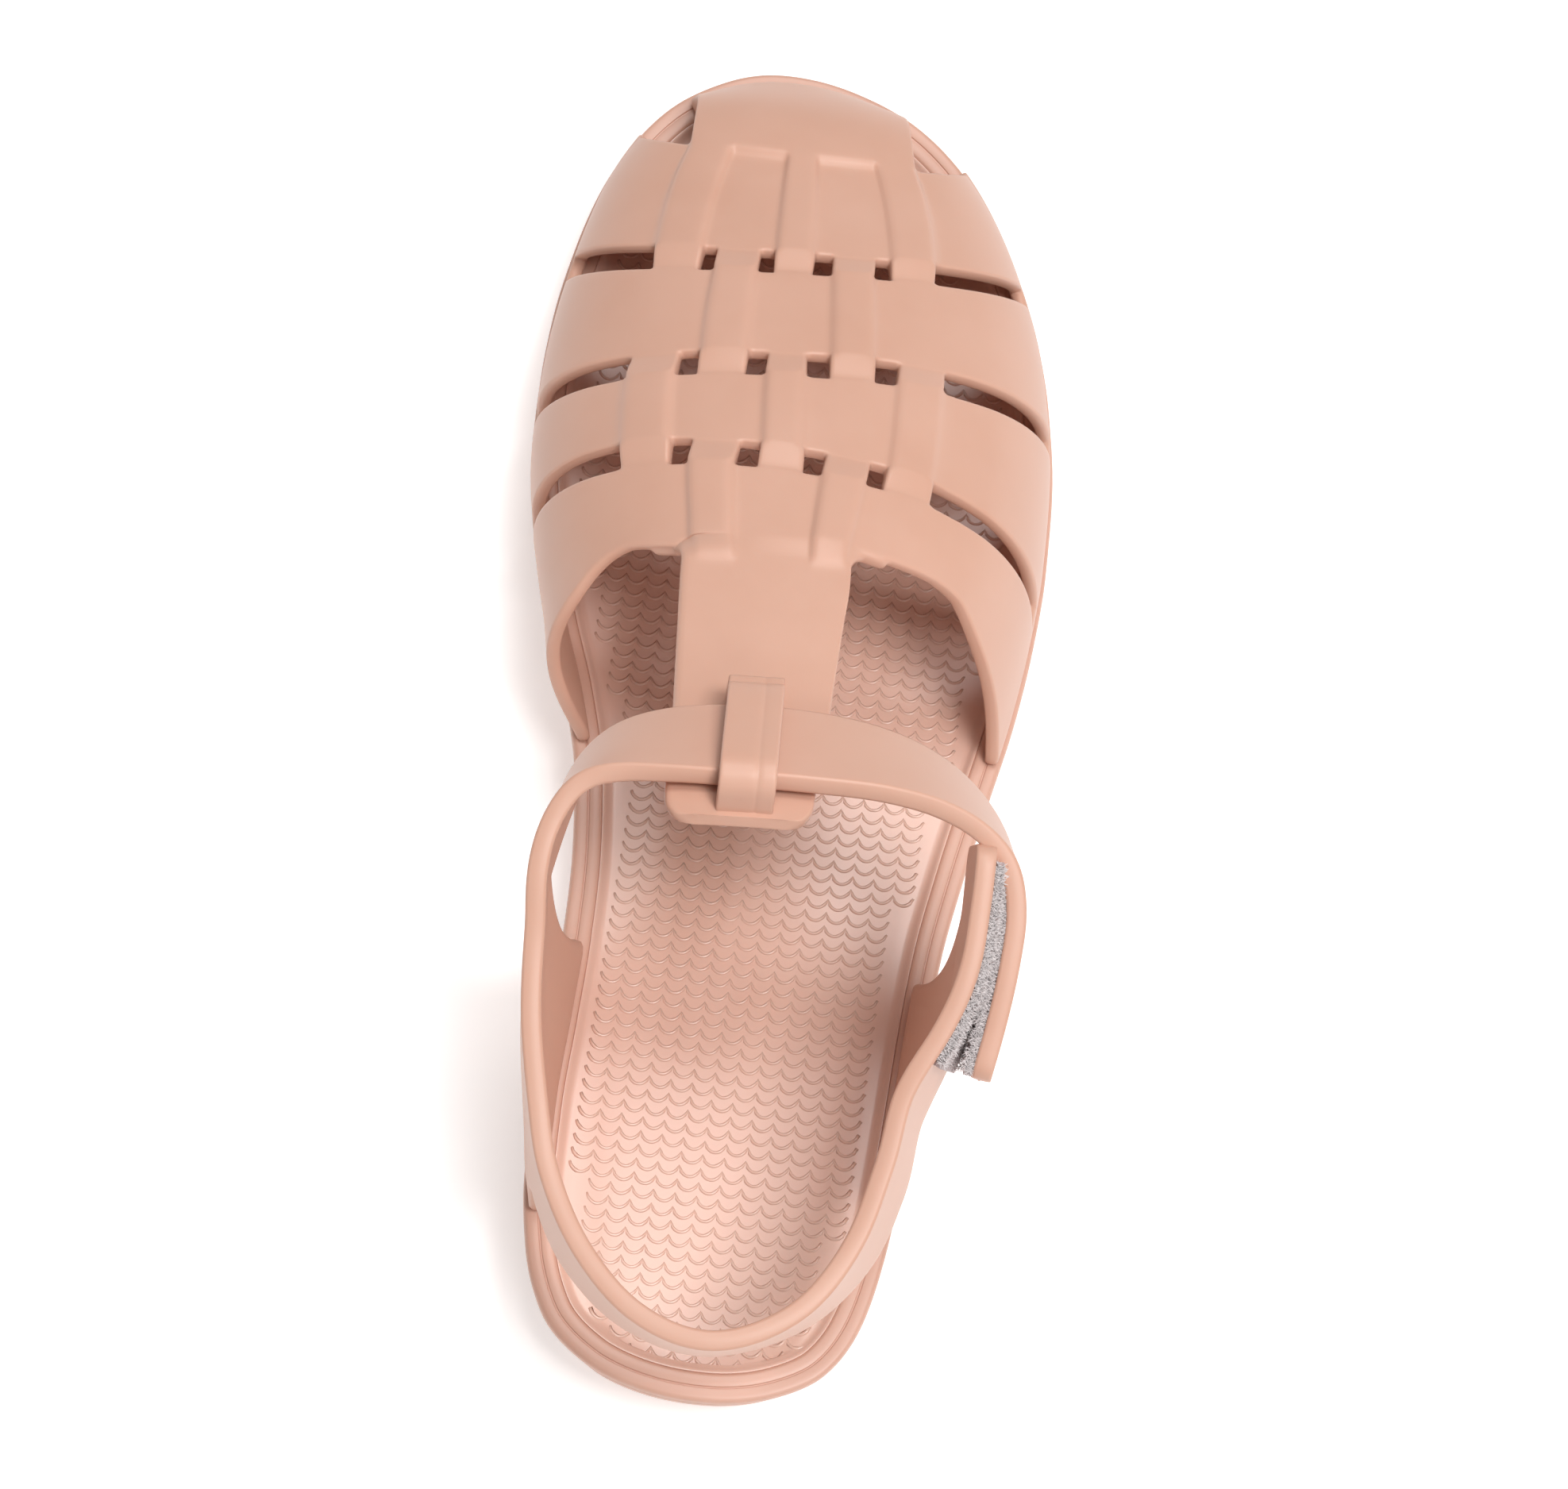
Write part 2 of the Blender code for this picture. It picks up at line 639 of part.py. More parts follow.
def strap_point(t, share, rise, width=STRAP_WIDTH):
    """Point of the strap: share runs from -0.5 (low edge) to 0.5 (top edge)."""
    centre, across, normal, scale = strap_frame(t)
    return centre + across * share * width * scale + normal * rise


def end_share(t, width):
    """Narrowing that rounds the corners of the strap's two ends."""
    total = len(STRAP) - 1
    end = 0.0 if t < total / 2 else total
    gap = (strap_line(t)[0] - strap_line(end)[0]).length
    reach = max(STRAP_CORNER - gap, 0)
    return 1 - 2 * (STRAP_CORNER - math.sqrt(STRAP_CORNER**2 - reach**2)) / width


def build_strap(where):
    total = len(STRAP) - 1
    stations = [0, 0.1, 0.2]
    t = 0.5
    while t < total - 0.3:
        stations.append(t)
        t += 0.5
    stations += [total - 0.2, total - 0.1, total]
    across = (0.5, 0, -0.5)
    drop = (0.35, 0.7, 1.0)
    points = []
    weights = []
    for t in stations:
        share = end_share(t, STRAP_WIDTH)
        line = [strap_point(t, w * share, 0) for w in across]
        foot = column(STRAP, 7, t)
        sign = 1 if t < total / 3 else -1
        base = foot_point(foot * LENGTH, sign, UPPER_INSET + STRAP_THICKNESS) if foot > 0.02 else line[-1]
        above = base + Vector((0, 0, STRAP_THICKNESS)) if foot > 0.02 else base
        for f in drop:
            spot = line[2].lerp(above, f)
            spot.x += sign * QUARTER_BULGE * math.sin(math.pi * f)
            line.append(spot)
        line.append(base)
        points.append(line)
        weights.append([1] * len(line))

    def present(j, i):
        if i < 2:
            return True
        t = (stations[j] + stations[j + 1]) / 2
        return any(a < t < b for a, b in QUARTERS)

    mesh = grid_mesh(points, weights, present)
    return shell("heel_ankle_strap", mesh, where, (0.78, 0.50, 0.38), STRAP_THICKNESS)


def build_tape(name, where, first, last, rise, colour):
    points = []
    count = 12
    for n in range(count + 1):
        t = mix(first, last, n / count)
        points.append([strap_point(t, w, rise, TAPE_WIDTH) for w in (0.5, 0, -0.5)])
    weights = [[1] * 3 for _ in points]
    mesh = grid_mesh(points, weights, lambda j, i: True)
    return shell(name, mesh, where, colour, TAPE_THICKNESS)


def main():
    for item in list(bpy.data.objects):
        bpy.data.objects.remove(item, do_unlink=True)
    where = bpy.data.collections.new("jelly_sandal")
    cutters = bpy.data.collections.new("cutters")
    bpy.context.scene.collection.children.link(where)
    bpy.context.scene.collection.children.link(cutters)
    build_outsole(where, cutters)
    build_footbed(where)
    build_upper(where, cutters)
    build_strap(where)
    build_tape("loop_tape", where, 0.4, 3.9, STRAP_THICKNESS + GAP, (0.80, 0.78, 0.76))
    build_tape("hook_tape", where, 25.6, 28.9, -GAP - TAPE_THICKNESS, (0.78, 0.77, 0.76))


main()
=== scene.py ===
import math
import random

import bmesh
import bpy
from mathutils import Matrix, Vector


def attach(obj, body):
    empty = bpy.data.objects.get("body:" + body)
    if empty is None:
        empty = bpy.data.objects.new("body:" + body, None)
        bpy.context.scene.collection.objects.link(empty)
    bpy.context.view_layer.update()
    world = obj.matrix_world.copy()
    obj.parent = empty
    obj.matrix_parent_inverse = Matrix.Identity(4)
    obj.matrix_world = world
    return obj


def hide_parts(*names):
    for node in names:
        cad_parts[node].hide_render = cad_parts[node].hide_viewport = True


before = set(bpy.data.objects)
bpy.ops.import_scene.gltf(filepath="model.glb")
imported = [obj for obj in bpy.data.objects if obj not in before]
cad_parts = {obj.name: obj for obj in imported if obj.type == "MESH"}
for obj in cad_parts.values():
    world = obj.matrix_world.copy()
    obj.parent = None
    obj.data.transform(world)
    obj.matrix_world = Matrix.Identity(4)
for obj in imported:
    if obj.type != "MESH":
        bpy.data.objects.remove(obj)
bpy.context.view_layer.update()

# sizes in metres, the same as the solids have
last = {
    "length": 0.176,
    "ballWidth": 0.067,
    "instepHeight": 0.060,
    "soleHeight": 0.014,
    "rimWidth": 0.0036,
    "footbedStep": 0.0008,
    "heelCup": 0.0012,
    "archRise": 0.0015,
    "upperInset": 0.0006,
    "toeInset": 0.0021,
    "toeReach": 0.0024,
    "crownShift": 0.045,
    "gap": 0.0003,
}
mm = 0.001
random.seed(7)

# outline of the sole: y is a share of the length from the heel, medial and lateral are shares of the
# ball width from the heel-toe line, ground and rim are shares of the sole's height
soleTable = (
    (0.000, 0.000, 0.000, 0.08, 1.00),
    (0.006, 0.125, 0.105, 0.06, 1.00),
    (0.022, 0.225, 0.190, 0.02, 1.00),
    (0.055, 0.309, 0.252, 0.00, 0.99),
    (0.100, 0.345, 0.289, 0.00, 0.98),
    (0.145, 0.355, 0.312, 0.00, 0.97),
    (0.200, 0.349, 0.332, 0.00, 0.95),
    (0.260, 0.332, 0.352, 0.00, 0.92),
    (0.320, 0.316, 0.376, 0.04, 0.89),
    (0.380, 0.308, 0.413, 0.14, 0.85),
    (0.440, 0.313, 0.456, 0.16, 0.80),
    (0.500, 0.340, 0.500, 0.08, 0.74),
    (0.560, 0.382, 0.533, 0.01, 0.69),
    (0.620, 0.418, 0.555, 0.00, 0.66),
    (0.690, 0.436, 0.564, 0.00, 0.65),
    (0.750, 0.429, 0.553, 0.00, 0.66),
    (0.800, 0.413, 0.530, 0.03, 0.69),
    (0.850, 0.383, 0.490, 0.09, 0.73),
    (0.900, 0.338, 0.428, 0.17, 0.80),
    (0.940, 0.278, 0.352, 0.26, 0.86),
    (0.970, 0.207, 0.262, 0.35, 0.91),
    (0.990, 0.117, 0.150, 0.42, 0.95),
    (1.000, 0.000, 0.000, 0.47, 0.97),
)

# edges of the upper's bands: medial, lateral and crown places along the foot, height of the crown,
# roundness of the section and how far the medial side swells
bandTable = (
    (0.950, 0.937, 0.980, 0.000, 2.0, 0.000),
    (0.947, 0.934, 0.972, 0.280, 2.1, 0.000),
    (0.944, 0.931, 0.954, 0.340, 2.2, 0.000),
    (0.941, 0.928, 0.926, 0.378, 2.2, 0.000),
    (0.938, 0.925, 0.890, 0.402, 2.3, 0.000),
    (0.841, 0.838, 0.799, 0.500, 2.4, 0.000),
    (0.821, 0.824, 0.780, 0.519, 2.4, 0.000),
    (0.713, 0.716, 0.708, 0.598, 2.4, 0.010),
    (0.696, 0.701, 0.688, 0.616, 2.4, 0.012),
    (0.619, 0.582, 0.627, 0.673, 2.4, 0.028),
    (0.602, 0.568, 0.607, 0.690, 2.4, 0.033),
    (0.466, 0.468, 0.554, 0.733, 2.4, 0.078),
)

# left and right edge of the five lengthwise strips where they cross a band edge, 0 at the crown
stripTable = (
    (0.0, (-0.49, -0.260), (-0.205, -0.095), (-0.050, 0.038), (0.080, 0.205), (0.250, 0.460)),
    (4.0, (-0.46, -0.250), (-0.205, -0.095), (-0.050, 0.038), (0.080, 0.205), (0.250, 0.445)),
    (5.0, (-0.40, -0.237), (-0.200, -0.080), (-0.050, 0.025), (0.062, 0.175), (0.213, 0.360)),
    (7.0, (-0.387, -0.250), (-0.200, -0.087), (-0.050, 0.012), (0.050, 0.150), (0.210, 0.338)),
    (9.0, (-0.40, -0.262), (-0.212, -0.100), (-0.060, 0.012), (0.050, 0.150), (0.188, 0.312)),
    (11.0, (-0.40, -0.275), (-0.235, -0.125), (-0.075, 0.010), (0.030, 0.130), (0.175, 0.315)),
)

# the bar: y, height of its top, left and right edge
barTable = (
    (0.319, 1.010, -0.158, 0.090),
    (0.345, 0.975, -0.157, 0.094),
    (0.372, 0.926, -0.154, 0.104),
    (0.410, 0.856, -0.150, 0.118),
    (0.426, 0.832, -0.149, 0.122),
    (0.455, 0.805, -0.149, 0.130),
    (0.489, 0.780, -0.149, 0.140),
    (0.523, 0.755, -0.149, 0.150),
    (0.554, 0.733, -0.146, 0.152),
)

# centre line of the strap's inner face: x, y, height, recline in degrees, lean, width, how far it laps
# over the tab, and where its quarter's foot stands
strapTable = (
    (0.372, 0.332, 0.841, 90, 0.00, 1.00, 0, 0.318),
    (0.366, 0.290, 0.803, 90, 0.00, 1.00, 0, 0.296),
    (0.354, 0.250, 0.767, 90, 0.00, 1.00, 0, 0.262),
    (0.326, 0.214, 0.730, 90, -0.06, 1.00, 0, 0.225),
    (0.273, 0.170, 0.688, 90, -0.14, 1.00, 0, 0.180),
    (0.248, 0.124, 0.658, 88, -0.18, 1.00, 0, 0.140),
    (0.200, 0.076, 0.645, 85, -0.16, 1.00, 0, 0.095),
    (0.108, 0.036, 0.642, 82, -0.08, 1.00, 0, 0),
    (-0.022, 0.017, 0.642, 81, 0.00, 1.00, 0, 0),
    (-0.142, 0.030, 0.642, 82, 0.04, 1.00, 0, 0),
    (-0.237, 0.064, 0.645, 85, 0.06, 1.00, 0, 0.090),
    (-0.294, 0.106, 0.655, 88, 0.04, 1.00, 0, 0.128),
    (-0.318, 0.150, 0.680, 90, 0.00, 1.00, 0, 0.168),
    (-0.338, 0.203, 0.725, 90, 0.00, 1.00, 0, 0.218),
    (-0.341, 0.259, 0.775, 90, 0.00, 1.00, 0, 0.268),
    (-0.339, 0.297, 0.825, 86, 0.00, 1.00, 0, 0.318),
    (-0.327, 0.333, 0.858, 78, -0.05, 1.00, 0, 0.368),
    (-0.292, 0.362, 0.885, 58, -0.05, 0.96, 0, 0),
    (-0.237, 0.370, 0.908, 45, 0.00, 0.93, 0, 0),
    (-0.146, 0.374, 0.931, 36, 0.00, 0.91, 0, 0),
    (-0.022, 0.372, 0.939, 32, 0.00, 0.91, 0, 0),
    (0.104, 0.371, 0.934, 33, 0.00, 0.91, 0, 0),
    (0.200, 0.372, 0.908, 40, 0.00, 0.92, 0.1, 0),
    (0.278, 0.367, 0.875, 46, 0.00, 0.95, 0.3, 0),
    (0.330, 0.352, 0.835, 54, 0.00, 0.98, 0.6, 0),
    (0.362, 0.333, 0.805, 60, -0.02, 1.00, 0.9, 0),
    (0.374, 0.298, 0.775, 70, -0.04, 1.00, 1, 0),
    (0.362, 0.261, 0.742, 76, -0.05, 1.00, 1, 0),
    (0.344, 0.227, 0.700, 78, -0.05, 1.00, 1, 0),
    (0.326, 0.195, 0.663, 80, -0.05, 1.00, 1, 0),
)


def eased(rows, first, final):  # takes the corners out of some rows, but not out of lap and foot
    out = list(rows)
    for n in range(first, final):
        before, row, after = rows[n - 1:n + 2]
        out[n] = tuple(row[k] / 2 + (before[k] + after[k]) / 4 for k in range(6)) + row[6:]
    return tuple(out)


overInstep = (16, 28)
strapTable = eased(eased(strapTable, *overInstep), *overInstep)

# the solids stand with the middle of the sole's box at the origin
origin = Vector((
    (max(r[2] for r in soleTable) - max(r[1] for r in soleTable)) / 2 * last["ballWidth"],
    last["length"] / 2,
    0,
))


def mix(a, b, f):
    return a + (b - a) * f


def curve(a, b, p, q, t):  # from a to b with the slopes p and q
    return (a * (2 * t**3 - 3 * t**2 + 1) + p * (t**3 - 2 * t**2 + t)
            + b * (3 * t**2 - 2 * t**3) + q * (t**3 - t**2))


def blend(rows, y, column):  # a curve through a table's column that never overshoots
    count = len(rows)
    y = min(max(y, rows[0][0]), rows[-1][0])
    k = 0
    while k < count - 2 and y > rows[k + 1][0]:
        k += 1

    def slope(i):
        return (rows[i + 1][column] - rows[i][column]) / (rows[i + 1][0] - rows[i][0])

    def tangent(i):
        if i == 0:
            return slope(0)
        if i == count - 1:
            return slope(count - 2)
        p, q = slope(i - 1), slope(i)
        return 2 * p * q / (p + q) if p * q > 0 else 0.0

    h = rows[k + 1][0] - rows[k][0]
    t = (y - rows[k][0]) / h
    return curve(rows[k][column], rows[k + 1][column], tangent(k) * h, tangent(k + 1) * h, t)


def along(rows, k, t):  # a smooth curve through the rows, by row position
    i = min(int(t), len(rows) - 2)
    f = t - i
    a, b = rows[i][k], rows[i + 1][k]
    p = (b - rows[i - 1][k]) / 2 if i > 0 else b - a
    q = (rows[i + 2][k] - a) / 2 if i < len(rows) - 2 else b - a
    return curve(a, b, p, q, f)


def turnOf(share):  # share of the length as a share of half a turn, so that rows crowd at heel and toe
    return math.acos(min(max(1 - 2 * share, -1), 1)) / math.pi


edgeTable = tuple((turnOf(r[0]), r[1], r[2]) for r in soleTable)


def side(y, column):
    return blend(edgeTable, turnOf(y / last["length"]), column) * last["ballWidth"]


def rimHeight(y):
    return blend(soleTable, y / last["length"], 4) * last["soleHeight"]


def groundHeight(y):
    return blend(soleTable, y / last["length"], 3) * last["soleHeight"]


def footPoint(y, sign, inset):
    return Vector((sign * (side(y, 1 if sign < 0 else 2) - inset), y, rimHeight(y) + last["gap"]))


# the surface of the last, which the upper lies on

crownTable = tuple((r[2], r[3]) for r in reversed(bandTable[1:]))


def fanRow(u):
    i = min(int(u), len(bandTable) - 2)
    row = [mix(p, q, u - i) for p, q in zip(bandTable[i], bandTable[i + 1])]
    if u > 4:
        row[3] = blend(crownTable, row[2], 1)
    return row


def toePoint(across, inward):
    medial, lateral = bandTable[0][:2]

    def edge(at):
        start = turnOf(medial if at < 0 else lateral)
        reached = mix(1, start, abs(math.sin(at * math.pi / 2)))
        x = blend(edgeTable, reached, 1 if at < 0 else 2) * last["ballWidth"]
        return Vector((math.copysign(x, at), (1 - math.cos(math.pi * reached)) / 2 * last["length"], 0))

    step = 0.03
    run = edge(min(across + step, 1)) - edge(max(across - step, -1))
    inner = Vector((run.y, -run.x, 0)).normalized()
    spot = edge(across) + inner * (
        mix(last["upperInset"], last["toeInset"], math.cos(across * math.pi / 2)) + inward
    )
    spot.z = rimHeight(min(spot.y + last["toeReach"], last["length"])) + last["gap"]
    return spot


def fanPoint(u, across, inward):  # across runs from -1 at the medial foot to 1 at the lateral foot
    if u < 1:
        return toePoint(across, inward).lerp(fanPoint(1, across, inward), u)
    medial, lateral, crown, height, full, bulge = fanRow(u)
    medialFoot = footPoint(medial * last["length"], -1, last["upperInset"])
    lateralFoot = footPoint(lateral * last["length"], 1, last["upperInset"])
    middle = (medialFoot + lateralFoot) / 2
    top = Vector((last["crownShift"] * last["ballWidth"], crown * last["length"],
                  height * last["instepHeight"]))
    half = (lateralFoot - medialFoot) / 2
    rise = top - middle
    half -= half.normalized() * inward
    rise -= rise.normalized() * inward
    s = math.sin(across * math.pi / 2)
    c = math.cos(across * math.pi / 2)
    point = middle + half * math.copysign(abs(s) ** (2 / full), s) + rise * abs(c) ** (2 / full)
    if across < 0:
        point.x -= bulge * last["ballWidth"] * 4 * c * (1 - c)
    return point


bar = {
    "crown": 0.0005,  # how much higher its middle is than its edges
    "corner": 0.0033,
}


def barPoint(y, share, rise):
    height = blend(barTable, y, 1) * last["instepHeight"]
    left = blend(barTable, y, 2) * last["ballWidth"]
    right = blend(barTable, y, 3) * last["ballWidth"]
    step = 0.004
    slope = (blend(barTable, y - step, 1) - blend(barTable, y + step, 1)) * last["instepHeight"]
    normal = Vector((0, slope / (2 * step * last["length"]), 1)).normalized()
    reach = max(bar["corner"] - (y - barTable[0][0]) * last["length"], 0)
    narrow = bar["corner"] - math.sqrt(max(bar["corner"] ** 2 - reach**2, 0))
    x = mix(left + narrow, right - narrow, share)
    off = (2 * x - left - right) / (right - left)
    return Vector((x, y * last["length"], height - bar["crown"] * off**2)) + normal * rise


def hexColour(code):  # sRGB hex to the linear values that Blender wants
    parts = [int(code[i:i + 2], 16) / 255 for i in (1, 3, 5)]
    return tuple(c / 12.92 if c <= 0.04045 else ((c + 0.055) / 1.055) ** 2.4 for c in parts) + (1,)


def addNode(material, kind, links=None, **settings):
    node = material.node_tree.nodes.new(kind)
    for key, value in settings.items():
        if key in node.inputs:
            node.inputs[key].default_value = value
        else:
            setattr(node, key, value)
    for socket, source in (links or {}).items():
        material.node_tree.links.new(source, node.inputs[socket])
    return node


def newMaterial(name):
    material = bpy.data.materials.new(name)
    material.use_nodes = True
    return material, material.node_tree.nodes["Principled BSDF"]


def addPiece(name, mesh, material):
    bmesh.ops.translate(mesh, verts=mesh.verts, vec=-origin)
    data = bpy.data.meshes.new(name)
    mesh.to_mesh(data)
    mesh.free()
    for face in data.polygons:
        face.use_smooth = True
    piece = bpy.data.objects.new(name, data)
    bpy.context.scene.collection.objects.link(piece)
    data.materials.append(material)
    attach(piece, "root")
    return piece


def addModifier(piece, kind, **settings):
    modifier = piece.modifiers.new(kind.title(), kind)
    for key, value in settings.items():
        setattr(modifier, key, value)


def wallMesh(inner, thickness, present):  # closed wall on a grid of inner points, with holes
    rows = len(inner)
    count = len(inner[0])
    outer = []
    for j in range(rows):
        line = []
        for i in range(count):
            a = inner[j][min(i + 1, count - 1)] - inner[j][max(i - 1, 0)]
            b = inner[min(j + 1, rows - 1)][i] - inner[max(j - 1, 0)][i]
            line.append(inner[j][i] + a.cross(b).normalized() * -thickness[j][i])
        outer.append(line)
    mesh = bmesh.new()
    used = {}

    def corner(j, i, k):
        if (j, i, k) not in used:
            used[j, i, k] = mesh.verts.new((inner, outer)[k][j][i])
        return used[j, i, k]

    here = [[present(j, i) for i in range(count - 1)] for j in range(rows - 1)]

    def has(j, i):
        return 0 <= j < rows - 1 and 0 <= i < count - 1 and here[j][i]

    for j in range(rows - 1):
        for i in range(count - 1):
            if not here[j][i]:
                continue
            mesh.faces.new([corner(j + q, i + p, 0) for q, p in ((0, 0), (0, 1), (1, 1), (1, 0))])
            mesh.faces.new([corner(j + q, i + p, 1) for q, p in ((0, 0), (1, 0), (1, 1), (0, 1))])
            for ahead, (a, b) in (
                ((j - 1, i), ((0, 0), (0, 1))),
                ((j, i + 1), ((0, 1), (1, 1))),
                ((j + 1, i), ((1, 1), (1, 0))),
                ((j, i - 1), ((1, 0), (0, 0))),
            ):
                if not has(*ahead):
                    p = (j + a[0], i + a[1])
                    q = (j + b[0], i + b[1])
                    mesh.faces.new((corner(*p, 0), corner(*p, 1), corner(*q, 1), corner(*q, 0)))
    bmesh.ops.recalc_face_normals(mesh, faces=mesh.faces)
    return mesh


# moulded soft PVC, dusty peach: dyed through, satin from the etched mould, light goes a little way in
pvc = {
    "ior": 1.53,  # soft PVC
    "grain": 0.25 * mm,  # etched mould texture, drawn coarser than the real 0.1 mm so that it shows
    "grainDepth": 0.02 * mm,
    "cloud": 14 * mm,  # slow change of dye and bloom over the surface
    "bloom": (-0.05, 0.06),  # how much roughness changes with it
    "scatter": 0.12,
    "scatterDepth": 1.2 * mm,
    "scatterColour": (1.0, 0.45, 0.3),  # red goes furthest in
    "kinds": {  # lit and deep colour, roughness, strength of the grain, specular level
        "satinPvc": ("#D5A995", "#CB9C86", 0.42, 0.25, 0.36),
        "solePvc": ("#D6AB98", "#CC9D89", 0.38, 0.25, 0.45),
        # the footbed's two colours are its own peach made lighter and paler: its own colour with painted sheen
        # in it
        "footbedPvcPaintedSheen": ("#E0B9A8", "#D8AD9B", 0.3, 0.15, 0.6),
    },
}


def mouldedPvc(name, lit, deep, roughness, grainStrength, specular):
    material, shader = newMaterial(name)
    place = addNode(material, "ShaderNodeTexCoord")
    cloud = addNode(material, "ShaderNodeTexNoise", {"Vector": place.outputs["Object"]},
                    Scale=1 / pvc["cloud"], Detail=3.0, Roughness=0.55)
    tint = addNode(material, "ShaderNodeMix", {"Factor": cloud.outputs["Fac"]}, data_type="RGBA")
    tint.inputs[6].default_value = hexColour(deep)
    tint.inputs[7].default_value = hexColour(lit)
    material.node_tree.links.new(tint.outputs[2], shader.inputs["Base Color"])
    grain = addNode(material, "ShaderNodeTexNoise", {"Vector": place.outputs["Object"]},
                    Scale=1 / pvc["grain"], Detail=2.0)
    gloss = addNode(material, "ShaderNodeMapRange", {"Value": cloud.outputs["Fac"]})
    gloss.inputs["To Min"].default_value = roughness + pvc["bloom"][0]
    gloss.inputs["To Max"].default_value = roughness + pvc["bloom"][1]
    material.node_tree.links.new(gloss.outputs["Result"], shader.inputs["Roughness"])
    bump = addNode(material, "ShaderNodeBump", {"Height": grain.outputs["Fac"]},
                   Strength=grainStrength, Distance=pvc["grainDepth"])
    material.node_tree.links.new(bump.outputs["Normal"], shader.inputs["Normal"])
    shader.inputs["IOR"].default_value = pvc["ior"]
    shader.inputs["Specular IOR Level"].default_value = specular
    shader.inputs["Subsurface Weight"].default_value = pvc["scatter"]
    shader.inputs["Subsurface Radius"].default_value = pvc["scatterColour"]
    shader.inputs["Subsurface Scale"].default_value = pvc["scatterDepth"]
    return material


satinPvc, solePvc, footbedPvcPaintedSheen = [mouldedPvc(name, *values) for name, values in pvc["kinds"].items()]
print("materials made")


# the upper: toe cap, four bands, five lengthwise strips woven through them, and the bar
upper = {
    "wall": 1.7 * mm,
    "stripRise": 0.75 * mm,
    "stripRun": 0.42 * mm,  # width of the step at a strip's edge
    "ledge": 0.9 * mm,  # lip that stands out behind the last band beside the bar
    "barDrop": 0.25 * mm,  # the bar lies this much under the last band
    "cell": 1.25 * mm,
    "edge": 0.35 * mm,  # first row inside a band's edge
    "slots": (5, 7, 9),  # rows of the band table that are followed by a slot
    "cap": 4,  # the row at which the toe cap ends
    "capRounds": 26,
    "shoulders": ((0.42, 0.21), (0.46, 0.15)),  # share of the half band where each sits, share that it draws in
    "ends": (1, 0.985, 0.9, 0.8, 0.7, 0.6, 0.5),
    "sinks": 0.2,  # a strip that dips under a band goes this share of its rise lower
    "barRows": (0.5405, 0.5375, 0.5345, 0.531),
    "barSteps": (0.524, 0.336, 0.0068),  # first, last and spacing of the plain rows
    "flangeRows": (0.3335, 0.331, 0.3285, 0.3262, 0.3242, 0.3225, 0.321, 0.3199, 0.3193, 0.319),
    "tabFade": (0.6, 0.4, 0.15, 0),  # how the two tabs run out on the bar
}


def upperColumns(u):  # for each column: place across, number of its strip or -1, and 1 on top of a strip
    at = min(u, stripTable[-1][0])
    k = 0
    while k < len(stripTable) - 2 and at > stripTable[k + 1][0]:
        k += 1
    f = (at - stripTable[k][0]) / (stripTable[k + 1][0] - stripTable[k][0])
    run = upper["stripRun"] / (0.75 * last["ballWidth"])
    out = []
    for n, e in enumerate(upper["ends"]):
        if n > 1:
            before = upper["ends"][n - 1]
            out += [(-mix(before, e, q / 4), -1, 0) for q in (1, 2, 3)]
        out.append((-e, -1, 0))
    pairs = [(mix(p[0], q[0], f), mix(p[1], q[1], f))
             for p, q in zip(stripTable[k][1:], stripTable[k + 1][1:])]
    start = -upper["ends"][-1]
    for n, (a, b) in enumerate(pairs):
        gap = a - start
        out += [(start + gap * q, -1, 0) for q in ((0.33, 0.67) if n else (0.5,))]
        out.append((a, n, 0))
        out.append((a + run, n, 1))
        out += [(mix(a + run, b - run, q / 4), n, 1) for q in (1, 2, 3)]
        out.append((b - run, n, 1))
        out.append((b, n, 0))
        start = b
    out.append((mix(start, upper["ends"][-1], 0.5), -1, 0))
    for n, e in enumerate(reversed(upper["ends"])):
        out.append((e, -1, 0))
        if n < len(upper["ends"]) - 2:
            after = upper["ends"][-2 - n]
            out += [(mix(e, after, q / 4), -1, 0) for q in (1, 2, 3)]
    return out


def upperRows():
    rows = []
    final = len(bandTable) - 1
    for a in range(final):
        length = max((fanPoint(a + 1, q, 0) - fanPoint(a, q, 0)).length for q in (0, 0.3, -0.3))
        count = max(int(length / upper["cell"] + 0.5), 1)
        if a in upper["slots"]:
            shares = (0, 0.1, 0.35, 0.65, 0.9)
        else:
            edge = upper["edge"] / length
            inside = [mix(edge, 1 - edge, q / (count - 1)) for q in range(count)] if count > 2 else [0.5]
            shares = [0] + inside if a >= upper["cap"] else [q / count for q in range(count)]
        rows += [a + q for q in shares]
    return rows + [final]


def shoulder(u, across):  # draws the last band's rear edge forward on both sides of the bar
    front = len(bandTable) - 2
    if u < front:
        return u
    place, reach = upper["shoulders"][0 if across < 0 else 1]
    width = 0.13
    return front + (u - front) * (1 - reach * math.exp(-(((abs(across) - place) / width) ** 2)))


def roundRows(points, first, final, times):  # takes the creases between sections out of the last's form
    for _ in range(times):
        before = [list(line) for line in points]
        for j in range(first + 1, final):
            for i in range(len(points[0])):
                points[j][i] = before[j][i] * 0.5 + (before[j - 1][i] + before[j + 1][i]) * 0.25


